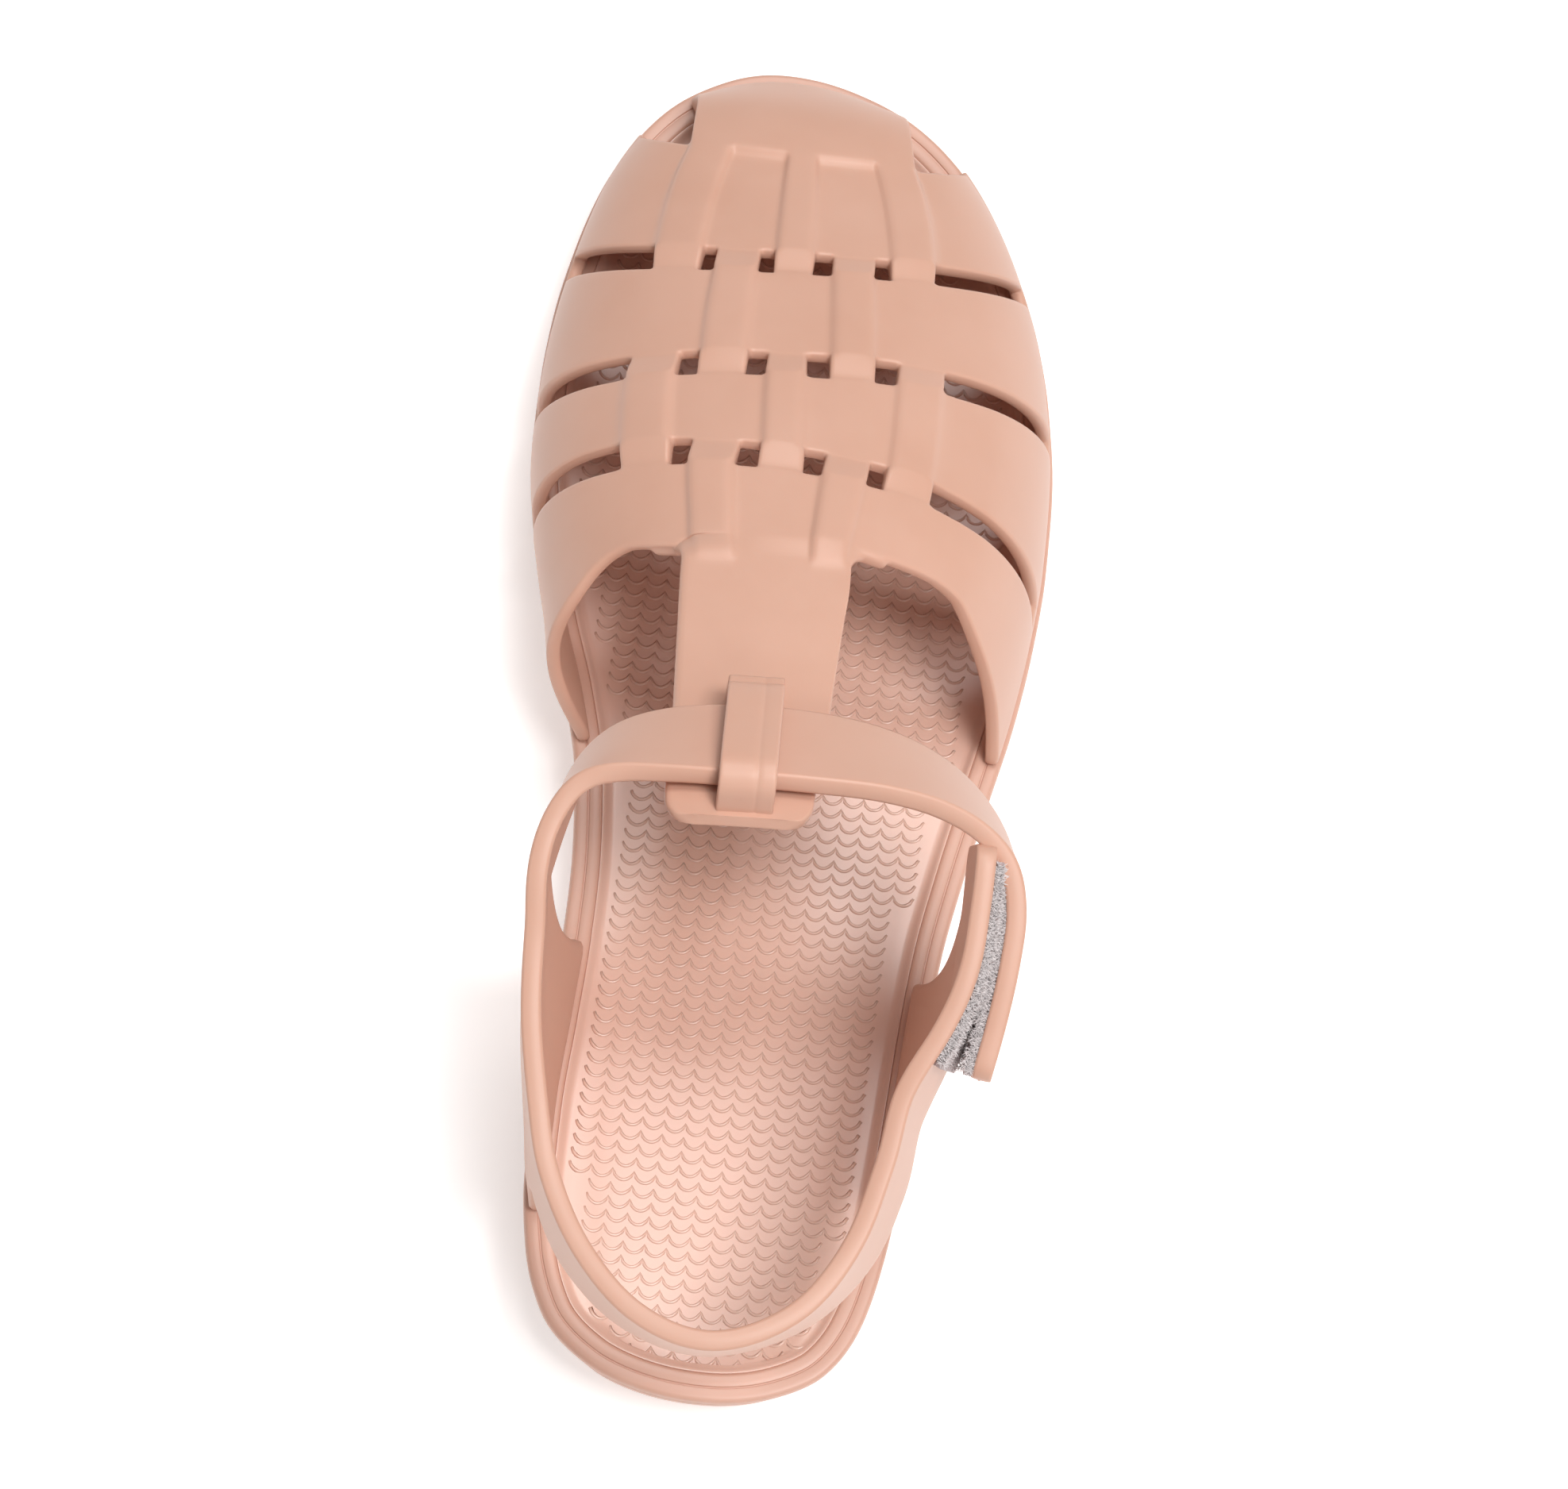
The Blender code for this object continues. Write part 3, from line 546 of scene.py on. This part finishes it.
def buildUpper():
    rows = upperRows()
    layout = upperColumns(upper["cap"])
    strips = [n for _, n, _ in layout]
    tops = [t for _, _, t in layout]
    count = len(layout)
    starts = [strips.index(n) for n in range(5)]
    stops = [count - 1 - strips[::-1].index(n) for n in range(5)]
    rise = upper["stripRise"]
    wall = upper["wall"]

    def thick(u, i):
        n = strips[i]
        if u <= upper["cap"]:
            return wall + (rise if starts[0] <= i <= stops[4] else 0)
        if n < 0:
            return wall
        odd = n % 2
        if int(u) in upper["slots"] and u != int(u):
            leaves = odd == upper["slots"].index(int(u)) % 2
            low = -upper["sinks"] * rise
            f = u - int(u)
            return wall + (mix(rise, low, f) if leaves else mix(low, rise, f))
        band = sum(u > q for q in upper["slots"])
        return wall + rise if odd == band % 2 and tops[i] else wall

    def inStrip(i):
        return any(a <= i < b for a, b in zip(starts, stops))

    firstBar, lastBar = starts[1] - 1, stops[3] + 1
    ledge = (starts[0] + 3, stops[4] - 3)
    points = []
    thickness = []
    for u in rows:
        line = [fanPoint(shoulder(u, a), a, wall) for a, _, _ in upperColumns(u)]
        for foot, above in ((0, 1), (-1, -2)):
            line[above] = line[foot] + Vector((0, 0, wall / 2))
        points.append(line)
        thickness.append([thick(u, i) for i in range(count)])
    fanRows = len(rows)
    base = points[-1]
    barRows = list(upper["barRows"])
    left = blend(barTable, barRows[0], 2) * last["ballWidth"]
    right = blend(barTable, barRows[0], 3) * last["ballWidth"]
    y, final, step = upper["barSteps"]
    while y > final:
        barRows.append(y)
        y -= step
    barRows += upper["flangeRows"]
    for n, y in enumerate(barRows):
        line = []
        thin = []
        for i in range(count):
            share = min(max((base[i].x - left) / (right - left), 0.03), 0.97)
            share = 0 if i <= firstBar else 1 if i >= lastBar else share
            point = barPoint(y, share, -wall)
            if n == 0 and (i < firstBar or i > lastBar):
                point = base[i] + Vector((0, -upper["ledge"], -0.15 * mm))
            line.append(point)
            fade = upper["tabFade"][min(n, 3)] if strips[i] in (1, 3) and tops[i] else 0
            thin.append(wall - upper["barDrop"] + (rise + upper["barDrop"]) * fade)
        points.append(line)
        thickness.append(thin)

    def present(j, i):
        if j == fanRows - 1:
            return ledge[0] <= i < ledge[1]
        if j > fanRows - 1:
            return firstBar <= i < lastBar
        u = (rows[j] + rows[j + 1]) / 2
        if u < upper["cap"]:
            return starts[0] <= i < stops[4]
        if int(u) in upper["slots"]:
            return inStrip(i) or i < 3 or i >= count - 4
        return True

    roundRows(points, 0, rows.index(upper["cap"]), upper["capRounds"])
    mesh = wallMesh(points, thickness, present)
    piece = addPiece("upper_shell", mesh, satinPvc)
    addModifier(piece, "SUBSURF", levels=1, render_levels=1)
    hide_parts("upper")


buildUpper()
print("upper made")


# one strap from the lateral tab round the heel and over the instep, with a quarter down to the sole each side
strap = {
    "width": 14.5 * mm,
    "thickness": 2.3 * mm,
    "corner": 2.4 * mm,
    "bulge": 0.6 * mm,
    "bow": 2.6 * mm,  # how far the quarters' edges curve in between strap and sole
    "bowShape": 1.5,  # above 1 the middle of a quarter stays straight
    "bowFill": 0.8,  # below 1 the curve is fuller
    "quarters": ((1, 5.2), (10.8, 15)),  # rows of the strap table that each one spans, lateral and medial
    "beside": 0.6,  # rows past a quarter that still follow its shape
    "drops": 14,  # steps from the strap down to the foot
    "tape": 0.7 * mm,
    "step": 1.3 * mm,
    "endRows": (0, 0.04, 0.1, 0.17, 0.26),  # closer rows at both rounded ends
    "across": (0.5, 0.475, 0.42, 0.33, 0.2, 0.07, -0.07, -0.2, -0.33, -0.42, -0.475, -0.5),
}


def strapLine(t):  # t counts rows of the strap table
    x, y, z, recline, lean, width, lap = [along(strapTable, k, t) for k in range(7)]
    push = lap * (strap["thickness"] + 2 * strap["tape"] + 3 * last["gap"])
    place = Vector((x * last["ballWidth"] + push, y * last["length"], z * last["instepHeight"]))
    return place, recline, lean, width


def strapFrame(t):
    centre, recline, lean, width = strapLine(t)
    reach = 0.15
    ahead, behind = min(t + reach, len(strapTable) - 1), max(t - reach, 0)
    run = (strapLine(ahead)[0] - strapLine(behind)[0]).normalized()
    angle = math.radians(recline)
    across = Vector((lean, -math.cos(angle), math.sin(angle)))
    across = (across - run * across.dot(run)).normalized()
    return centre, across, across.cross(run).normalized(), width


def strapStations(first, final, step):  # rows that lie a step apart along the strap
    out = [first]
    t = first
    while t < final:
        speed = (strapLine(min(t + 0.1, final))[0] - strapLine(t)[0]).length / 0.1
        t += step / max(speed, 1e-4)
        out.append(min(t, final))
    if out[-1] - out[-2] < 0.05:
        out.pop(-2)
    return out


def buildStrap():
    total = len(strapTable) - 1
    *near, plain = strap["endRows"]
    stations = near + strapStations(plain, total - plain, strap["step"])
    stations += [total - q for q in reversed(near)]
    shares = strap["across"]
    drops = [q / strap["drops"] for q in range(1, strap["drops"] + 1)]
    points = []
    for t in stations:
        centre, across, _, scale = strapFrame(t)
        end = 0.0 if t < total / 2 else total
        reach = max(strap["corner"] - (strapLine(t)[0] - strapLine(end)[0]).length, 0)
        narrow = 2 * (strap["corner"] - math.sqrt(strap["corner"] ** 2 - reach**2)) / strap["width"]
        line = [centre + across * w * strap["width"] * scale * (1 - narrow) for w in shares]
        foot = along(strapTable, 7, t)
        sign = 1 if t < total / 3 else -1
        beside = strap["beside"]
        part = next((q for q in strap["quarters"] if q[0] - beside < t < q[1] + beside), None)
        low = line[-1]
        base = footPoint(foot * last["length"], sign, last["upperInset"] + strap["thickness"]) if part else low
        above = base + Vector((0, 0, strap["thickness"])) if part else low
        for f in drops:
            spot = low.lerp(above, f)
            spot.x += sign * strap["bulge"] * math.sin(math.pi * f)
            if part:
                edge = 2 * (t - part[0]) / (part[1] - part[0]) - 1
                front = -edge if sign > 0 else edge
                push = math.copysign(abs(front) ** strap["bowShape"], front)
                spot.y -= push * strap["bow"] * math.sin(math.pi * f) ** strap["bowFill"]
            line.append(spot)
        line.append(base)
        points.append(line)
    thickness = [[strap["thickness"]] * len(line) for line in points]

    def present(j, i):
        t = (stations[j] + stations[j + 1]) / 2
        return i < len(shares) - 1 or any(a < t < b for a, b in strap["quarters"])

    mesh = wallMesh(points, thickness, present)
    piece = addPiece("ankle_strap", mesh, satinPvc)
    addModifier(piece, "SUBSURF", levels=1, render_levels=1)
    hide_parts("heel_ankle_strap")


buildStrap()
print("strap made")


# hook-and-loop tapes: woven nylon, greyish off-white, matt, with loops and hooks that stand out of it
fastening = {
    "colour": "#BFA9A8",
    "hair": "#F2E9E8",
    "count": 7200,
    "hairLength": 1.25 * mm,
    "hairWidth": 0.065 * mm,
    "bed": 0.05 * mm,  # between a tape and the strap that it is stuck to
    "thickness": 0.9 * mm,
    "width": 12.7 * mm,
    "loop": (0.25, 3.35),  # rows of the strap table that each tape and its hairs span
    "hook": (25.4, 28.95),
    "loopHairs": (0.3, 3.3),
    "hookHairs": (25.5, 28.9),
    "thread": 0.5 * mm,
    "weave": 0.1 * mm,  # depth of its relief
    "shade": 0.78,  # painted shade: how dark the colour is made where the weave's relief is low, between threads
    "sheen": 0.3,
    "across": (0.5, 0.46, 0.3, 0.1, -0.1, -0.3, -0.46, -0.5),
    "sunk": 0.1 * mm,  # how deep a hair's root sits
    "lean": 0.8,
    "shortest": 0.45,  # share of the full length
    "curl": 2.2,  # radians that it bends over
    "curlReach": 0.6,
    "taper": 0.5,
    "corners": (0, 2.1, 4.2),  # radians round a hair
}


def nylon(name, code, roughness):
    material, shader = newMaterial(name)
    place = addNode(material, "ShaderNodeTexCoord")
    thread = addNode(material, "ShaderNodeTexNoise", {"Vector": place.outputs["Object"]},
                     Scale=1 / fastening["thread"], Detail=4.0)
    # painted shade: the colour darkens where the noise that also raises the bump is low
    shade = addNode(material, "ShaderNodeMix", {"Factor": thread.outputs["Fac"]}, data_type="RGBA")
    shade.inputs[6].default_value = tuple(c * fastening["shade"] for c in hexColour(code)[:3]) + (1,)
    shade.inputs[7].default_value = hexColour(code)
    material.node_tree.links.new(shade.outputs[2], shader.inputs["Base Color"])
    bump = addNode(material, "ShaderNodeBump", {"Height": thread.outputs["Fac"]},
                   Strength=0.5, Distance=fastening["weave"])
    material.node_tree.links.new(bump.outputs["Normal"], shader.inputs["Normal"])
    shader.inputs["Roughness"].default_value = roughness
    shader.inputs["Sheen Weight"].default_value = fastening["sheen"]
    return material


def tapeMesh(first, final, rise):
    rows = []
    for t in strapStations(first, final, 1.2 * mm):
        centre, across, normal, scale = strapFrame(t)
        rows.append([centre + normal * rise + across * w * fastening["width"] * scale
                     for w in fastening["across"]])
    thickness = [[fastening["thickness"]] * len(line) for line in rows]
    return wallMesh(rows, thickness, lambda j, i: True)


def buildFuzz():
    mesh = bmesh.new()
    for n in range(fastening["count"]):
        loose = n % 2
        t = random.uniform(*fastening["loopHairs" if loose else "hookHairs"])
        centre, across, normal, scale = strapFrame(t)
        run = across.cross(normal)
        half = fastening["width"] / 2 * scale
        rise = fastening["bed"] + fastening["thickness"]
        if n % 8 > 1:  # most stand on the tape's upper edge, where they show
            rise -= fastening["thickness"] * random.random()
            spread, way, over = half, across, normal
        else:
            spread, way, over = random.uniform(-half, half), normal if loose else -normal, across
        rise = strap["thickness"] + rise if loose else -rise
        root = centre + across * spread + normal * rise - way * fastening["sunk"]
        lean = (run * random.uniform(-1, 1) + over * random.uniform(-1, 1)) * fastening["lean"]
        length = fastening["hairLength"] * random.uniform(fastening["shortest"], 1)
        rings = []
        for k in range(4):
            f = k / 3
            bend = math.sin(f * fastening["curl"])
            spot = root + way * bend * length * fastening["curlReach"] + lean * f * length
            wide = fastening["hairWidth"] * (1 - fastening["taper"] * f)
            rings.append([mesh.verts.new(spot + (run * math.cos(a) + across * math.sin(a)) * wide)
                          for a in fastening["corners"]])
        for low, high in zip(rings, rings[1:]):
            for k in range(3):
                mesh.faces.new((low[k], low[(k + 1) % 3], high[(k + 1) % 3], high[k]))
        mesh.faces.new(rings[0])
        mesh.faces.new(rings[-1])
    bmesh.ops.recalc_face_normals(mesh, faces=mesh.faces)
    return mesh


wovenNylon = nylon("wovenNylon", fastening["colour"], 0.8)
nylonHair = nylon("nylonHair", fastening["hair"], 0.45)
loopMesh = tapeMesh(*fastening["loop"], strap["thickness"] + fastening["bed"])
hookMesh = tapeMesh(*fastening["hook"], -fastening["bed"] - fastening["thickness"])
loopTape = addPiece("loop_tape_woven", loopMesh, wovenNylon)
hookTape = addPiece("hook_tape_woven", hookMesh, wovenNylon)
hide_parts("loop_tape")
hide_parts("hook_tape")
addPiece("tape_hairs", buildFuzz(), nylonHair)
print("tapes made")


# keeper loop over the strap, joined to the bar in front of it and to its flange behind
keeper = {
    "x": -0.014,
    "width": 6.5 * mm,
    "thickness": 1.8 * mm,
    "path": (  # y of the length and height over the bar's top, of its inner face
        (0.4420, -0.9 * mm),
        (0.4280, -0.7 * mm),
        (0.4180, 0.3 * mm),
        (0.4085, 2.6 * mm),
        (0.3980, 3.35 * mm),
        (0.3700, 3.35 * mm),
        (0.3500, 3.35 * mm),
        (0.3400, 3.3 * mm),
        (0.3358, 2.4 * mm),
        (0.3352, 0.9 * mm),
        (0.3350, -0.9 * mm),
    ),
    "across": (-0.5, -0.46, -0.36, -0.18, 0, 0.13, 0.17, 0.21, 0.36, 0.46, 0.5),
    "seam": 0.17,  # place across of its fine mould seam
    "seamDepth": 0.18 * mm,
    "steps": 60,
    "skew": 0.06,
    "thin": 0.45,  # share of the thickness where it leaves the bar
    "thicken": 1.6,  # how soon it is whole
}


def buildKeeper():
    rows = []
    total = len(keeper["path"]) - 1
    n = keeper["steps"]
    front = keeper["path"][4][0] * last["length"]
    for q in range(n + 1):
        t = total * q / n
        y, rise = along(keeper["path"], 0, t), along(keeper["path"], 1, t)
        point = barPoint(y, 0.5, rise)
        middle = keeper["x"] * last["ballWidth"] - keeper["skew"] * (front - point.y)
        rows.append([Vector((middle + w * keeper["width"], point.y, point.z)) for w in keeper["across"]])
    thick = []
    for q in range(n + 1):
        whole = keeper["thickness"] * min(1, keeper["thin"] + keeper["thicken"] * q / n)
        thick.append([whole - (keeper["seamDepth"] if w == keeper["seam"] else 0)
                      for w in keeper["across"]])
    mesh = wallMesh(rows, thick, lambda j, i: True)
    piece = addPiece("keeper_loop", mesh, satinPvc)
    addModifier(piece, "SUBSURF", levels=1, render_levels=1)


buildKeeper()
print("keeper made")


# outsole: rim with a fine groove, a stepped side, and grooves across the underside
sole = {
    "ring": 150,  # points on each half of a ring
    "rungs": 14,
    "side": (  # inset in mm, share of the way from ground to rim, lift in mm
        (3.0, 0, 0), (2.55, 0, 0.12), (2.2, 0, 0.45), (2.0, 0, 0.9), (1.5, 0.28, 0), (1.12, 0.445, 0),
        (1.1, 0.46, 0), (1.2, 0.475, 0), (1.6, 0.5, 0), (1.65, 0.52, 0), (1.6, 0.56, 0), (1.4, 0.575, 0),
        (1.25, 0.585, 0), (0.7, 0.66, 0),
    ),
    "rim": (  # inset and height against the rim in mm
        (0.15, -1.7), (0.0, -1.0), (0.03, -0.55), (0.13, -0.24), (0.33, -0.06), (0.6, 0), (1.55, 0),
        (1.66, -0.04), (1.74, -0.2), (1.86, -0.2), (1.94, -0.04), (2.05, 0),
    ),
    "lip": ((0.5, -0.02), (0.25, -0.12), (0.1, -0.35), (0, -1.1)),  # the same, from the rim's inner edge
    "sharp": 38,  # degrees above which an edge stays crisp
    "treadDepth": 1.2 * mm,
    "treadWidth": 2.2 * mm,
    "tread": (0.06, 0.11, 0.16, 0.21, 0.26, 0.56, 0.61, 0.66, 0.71, 0.76),
    "footbedThickness": 4.5 * mm,
}


def ringPoints(inset, height):  # outline of the sole, moved inwards
    edge = []
    count = 2 * sole["ring"]
    for i in range(count):
        y = (1 - math.cos(math.pi * i / sole["ring"])) / 2 * last["length"]
        sign = 1 if i <= sole["ring"] else -1
        edge.append(Vector((sign * side(y, 2 if sign > 0 else 1), y, 0)))
    out = []
    for i, point in enumerate(edge):
        run = edge[(i + 1) % count] - edge[i - 1]
        moved = point + Vector((-run.y, run.x, 0)).normalized() * inset
        out.append(Vector((moved.x, moved.y, height(moved.y))))
    return out


def closeRing(mesh, loop, height, flip):  # covers a ring with rungs from side to side
    n = sole["rungs"]
    rungs = [[loop[0]] * (n + 1)]
    for i in range(1, sole["ring"]):
        right, left = loop[i], loop[-i]
        rung = [right]
        for k in range(1, n):
            share = (1 - math.cos(math.pi * k / n)) / 2
            spot = right.co.lerp(left.co, share)
            rung.append(mesh.verts.new((spot.x, spot.y, height(spot))))
        rungs.append(rung + [left])
    rungs.append([loop[sole["ring"]]] * (n + 1))
    for low, high in zip(rungs, rungs[1:]):
        for k in range(n):
            corners = [low[k], low[k + 1], high[k + 1], high[k]]
            face = [v for m, v in enumerate(corners) if v not in corners[:m]]
            mesh.faces.new(face[::-1] if flip else face)


def stackRings(rings, bottom, top):
    mesh = bmesh.new()
    loops = [[mesh.verts.new(p) for p in points] for points in rings]
    count = 2 * sole["ring"]
    for low, high in zip(loops, loops[1:]):
        for i in range(count):
            n = (i + 1) % count
            mesh.faces.new((low[i], low[n], high[n], high[i]))
    closeRing(mesh, loops[0], bottom, False)
    closeRing(mesh, loops[-1], top, True)
    bmesh.ops.recalc_face_normals(mesh, faces=mesh.faces)
    return mesh


def pocketHeight(y):
    return rimHeight(y) - last["footbedStep"] - sole["footbedThickness"]


def buildOutsole():
    def level(share, lift):
        return lambda y: mix(groundHeight(y), rimHeight(y), share) + lift

    def rim(lift):
        return lambda y: rimHeight(y) + lift

    w = last["rimWidth"]
    rings = [ringPoints(a * mm, level(share, lift * mm)) for a, share, lift in sole["side"]]
    rings += [ringPoints(a * mm, rim(lift * mm)) for a, lift in sole["rim"]]
    rings += [ringPoints(w - a * mm, rim(lift * mm)) for a, lift in sole["lip"]]
    rings.append(ringPoints(w, pocketHeight))
    mesh = stackRings(rings, lambda p: groundHeight(p.y), lambda p: pocketHeight(p.y))
    piece = addPiece("outsole_moulded", mesh, solePvc)
    bars = bmesh.new()
    below = mm  # how far the cutter reaches out under the sole
    for share in sole["tread"]:
        y = share * last["length"]
        made = bmesh.ops.create_cube(bars, size=1)["verts"]
        size = (2 * last["ballWidth"], sole["treadWidth"], sole["treadDepth"] + below)
        place = Vector((0, y, groundHeight(y) + sole["treadDepth"] / 2 - below / 2)) - origin
        bmesh.ops.scale(bars, verts=made, vec=size)
        bmesh.ops.translate(bars, verts=made, vec=place)
    data = bpy.data.meshes.new("treadCutter")
    bars.to_mesh(data)
    bars.free()
    cutter = bpy.data.objects.new("treadCutter", data)
    bpy.context.scene.collection.objects.link(cutter)
    addModifier(piece, "BOOLEAN", operation="DIFFERENCE", object=cutter, solver="EXACT")
    bpy.context.view_layer.update()
    cut = bpy.data.meshes.new_from_object(piece.evaluated_get(bpy.context.evaluated_depsgraph_get()))
    piece.modifiers.clear()
    piece.data = cut
    cut.set_sharp_from_angle(angle=math.radians(sole["sharp"]))
    bpy.data.objects.remove(cutter)
    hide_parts("outsole")


buildOutsole()
print("outsole made")


# footbed: cupped heel, low arch, and a field of wave-shaped ribs
footbed = {
    "spacing": 2.6 * mm,  # along a row of waves
    "pitch": 1.72 * mm,  # from row to row
    "depth": 1.12 * mm,  # of each wave
    "slope": 5.6,  # degrees that the rows fall to the lateral side
    "ribWidth": 0.33 * mm,  # half
    "ribHeight": 0.19 * mm,
    "ribRoot": 0.12 * mm,  # how deep a rib is sunk
    "ribEnd": 0.45,  # share of the height at a row's ends
    "roundness": 0.72,  # below 1 the waves are fuller
    "margin": 5.2 * mm,
    "heelMargin": 4.2 * mm,
    "heelLength": 16 * mm,
    "start": 4 * mm,
    "rows": (-6, 106),
    "columns": (-14, 16),
    "segments": 8,
    "edge": (  # inset and height in mm
        (0, 0.5), (0.08, 0.68), (0.25, 0.68), (0.55, 0.42), (0.85, 0.14), (1.15, 0),
    ),
    "sharp": 60,
    "flat": 2.2 * mm,  # width of the level strip beside the rim
    "crown": 0.2 * mm,
    "cupLength": 0.45,
    "cupSlope": 1.6,  # how soon the cup reaches its full depth
    "archPlace": 0.44,
    "archReach": 0.11,
    "archSide": 0.3,
}


def footbedHeight(x, y):
    inset = last["rimWidth"] + last["gap"] + footbed["flat"]
    half = (side(y, 2) + side(y, 1)) / 2 - inset
    across = min(abs((x - (side(y, 2) - side(y, 1)) / 2) / max(half, mm)), 1)
    heel = max(0.0, 1 - y / (footbed["cupLength"] * last["length"]))
    cup = last["heelCup"] * min(1.0, footbed["cupSlope"] * heel) * (1 - across**2)
    reach = math.exp(-(((y / last["length"] - footbed["archPlace"]) / footbed["archReach"]) ** 2))
    medial = max(0.0, -x / (footbed["archSide"] * last["ballWidth"]))
    arch = last["archRise"] * reach * medial * (1 - across**4)
    return rimHeight(y) - last["footbedStep"] - footbed["crown"] * (1 - across**8) - cup + arch


def buildFootbed():
    inset = last["rimWidth"] - 0.15 * mm  # a little into the rim, so that no gap shows

    def low(y):
        return pocketHeight(y) + last["gap"]

    def top(lift):
        return lambda y: rimHeight(y) - last["footbedStep"] + lift

    rings = [ringPoints(inset, low)]
    rings += [ringPoints(inset + a * mm, top(lift * mm)) for a, lift in footbed["edge"]]
    mesh = stackRings(rings, lambda p: low(p.y), lambda p: footbedHeight(p.x, p.y))
    piece = addPiece("footbed_moulded", mesh, footbedPvcPaintedSheen)
    piece.data.set_sharp_from_angle(angle=math.radians(footbed["sharp"]))
    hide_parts("footbed")


def buildRibs():
    edges = [ringPoints(footbed[k], lambda y: 0) for k in ("heelMargin", "margin")]
    angle = math.radians(footbed["slope"])
    row = Vector((math.cos(angle), -math.sin(angle), 0))
    column = Vector((math.sin(angle), math.cos(angle), 0))
    start = Vector((0, footbed["start"], 0))

    def inside(p):
        hit = False
        edge = edges[0] if p.y < footbed["heelLength"] else edges[1]
        for a, b in zip(edge, edge[1:] + edge[:1]):
            if (a.y > p.y) != (b.y > p.y) and p.x < a.x + (b.x - a.x) * (p.y - a.y) / (b.y - a.y):
                hit = not hit
        return hit

    mesh = bmesh.new()

    def rib(points):
        rings = []
        for n, p in enumerate(points):
            run = points[min(n + 1, len(points) - 1)] - points[max(n - 1, 0)]
            over = Vector((-run.y, run.x, 0)).normalized()
            z = footbedHeight(p.x, p.y)
            fade = footbed["ribEnd"] if n in (0, len(points) - 1) else 1
            high = Vector((p.x, p.y, z + footbed["ribHeight"] * fade))
            low = Vector((p.x, p.y, z - footbed["ribRoot"]))
            wide = over * footbed["ribWidth"]
            rings.append([mesh.verts.new(v) for v in (low - wide, high, low + wide)])
        for low, high in zip(rings, rings[1:]):
            for k in range(3):
                mesh.faces.new((low[k], low[(k + 1) % 3], high[(k + 1) % 3], high[k]))
        mesh.faces.new(rings[0])
        mesh.faces.new(rings[-1])

    for r in range(*footbed["rows"]):
        points = []
        for c in range(*footbed["columns"]):
            cusp = start + row * c * footbed["spacing"] + column * r * footbed["pitch"]
            after = cusp + row * footbed["spacing"]
            if inside(cusp) and inside(after):
                for k in range(footbed["segments"] + 1):
                    f = k / footbed["segments"]
                    if k == 0 and points:
                        continue
                    dip = footbed["depth"] * (4 * f * (1 - f)) ** footbed["roundness"]
                    points.append(cusp.lerp(after, f) - column * dip)
            elif points:
                rib(points)
                points = []
        if points:
            rib(points)
    bmesh.ops.recalc_face_normals(mesh, faces=mesh.faces)
    addPiece("footbed_ribs", mesh, footbedPvcPaintedSheen)


buildFootbed()
buildRibs()
print("footbed made")


# studio: white sweep, main light over the heel's lateral side, a broad one over the toe for the
# footbed's sheen, a low one behind the heel that reaches in under the straps, and a weak one on
# the medial side
studio = {
    "floor": "#F7F6F5",
    "floorSize": 3,
    "world": 0.2,
    "glow": 0.4,  # the sweep is lit from below, so that the shadows stay faint
    "lights": (  # place in metres from the sandal, size, watts
        ("key", (0.26, -0.17, 1.0), 0.34, 6.8),
        ("gloss", (0.10, 0.38, 1.0), 0.4, 3.8),
        ("back", (0.3, -0.8, 0.75), 0.6, 2.3),
        ("fill", (-0.7, -0.1, 0.8), 0.8, 0.6),
    ),
}


def buildStudio():
    world = bpy.data.worlds.new("studio")
    bpy.context.scene.world = world
    world.use_nodes = True
    world.node_tree.nodes["Background"].inputs["Color"].default_value = (1, 1, 1, 1)
    world.node_tree.nodes["Background"].inputs["Strength"].default_value = studio["world"]
    for name, place, size, power in studio["lights"]:
        data = bpy.data.lights.new(name, "AREA")
        data.size = size
        data.energy = power
        lamp = bpy.data.objects.new(name, data)
        lamp.location = place
        lamp.rotation_euler = (-Vector(place)).to_track_quat("-Z", "Y").to_euler()
        bpy.context.scene.collection.objects.link(lamp)
    mesh = bmesh.new()
    bmesh.ops.create_grid(mesh, x_segments=1, y_segments=1, size=studio["floorSize"])
    data = bpy.data.meshes.new("floor")
    mesh.to_mesh(data)
    mesh.free()
    floor = bpy.data.objects.new("floor", data)
    bpy.context.scene.collection.objects.link(floor)
    paper, shader = newMaterial("whitePaperSweep")
    shader.inputs["Base Color"].default_value = hexColour(studio["floor"])
    shader.inputs["Roughness"].default_value = 0.9
    shader.inputs["Emission Color"].default_value = (1, 1, 1, 1)
    shader.inputs["Emission Strength"].default_value = studio["glow"]
    data.materials.append(paper)
    bpy.context.scene.view_settings.view_transform = "Standard"
    bpy.context.scene.view_settings.look = "None"


# camera: half a metre from the shoe, 20 degrees back from straight above, turned onto the one sandal
camera = {
    "place": (-17.88 * mm, -93.07 * mm, 495.03 * mm),
    "aim": (4.5 * mm, 81.5 * mm, 16 * mm),
    "roll": 3.9,
    "lens": 95.2,
}


def buildCamera():
    data = bpy.data.cameras.new("camera")
    data.sensor_width = 36
    data.lens = camera["lens"]
    data.clip_start = 0.01
    item = bpy.data.objects.new("camera", data)
    bpy.context.scene.collection.objects.link(item)
    place = Vector(camera["place"]) - origin
    forward = (Vector(camera["aim"]) - origin - place).normalized()
    angle = math.radians(camera["roll"])
    right = Vector((math.cos(angle), math.sin(angle), 0))
    right = (right - forward * right.dot(forward)).normalized()
    up = right.cross(forward)
    item.matrix_world = Matrix((
        (right.x, up.x, -forward.x, place.x),
        (right.y, up.y, -forward.y, place.y),
        (right.z, up.z, -forward.z, place.z),
        (0, 0, 0, 1),
    ))
    bpy.context.scene.camera = item


buildStudio()
buildCamera()
print("studio made")
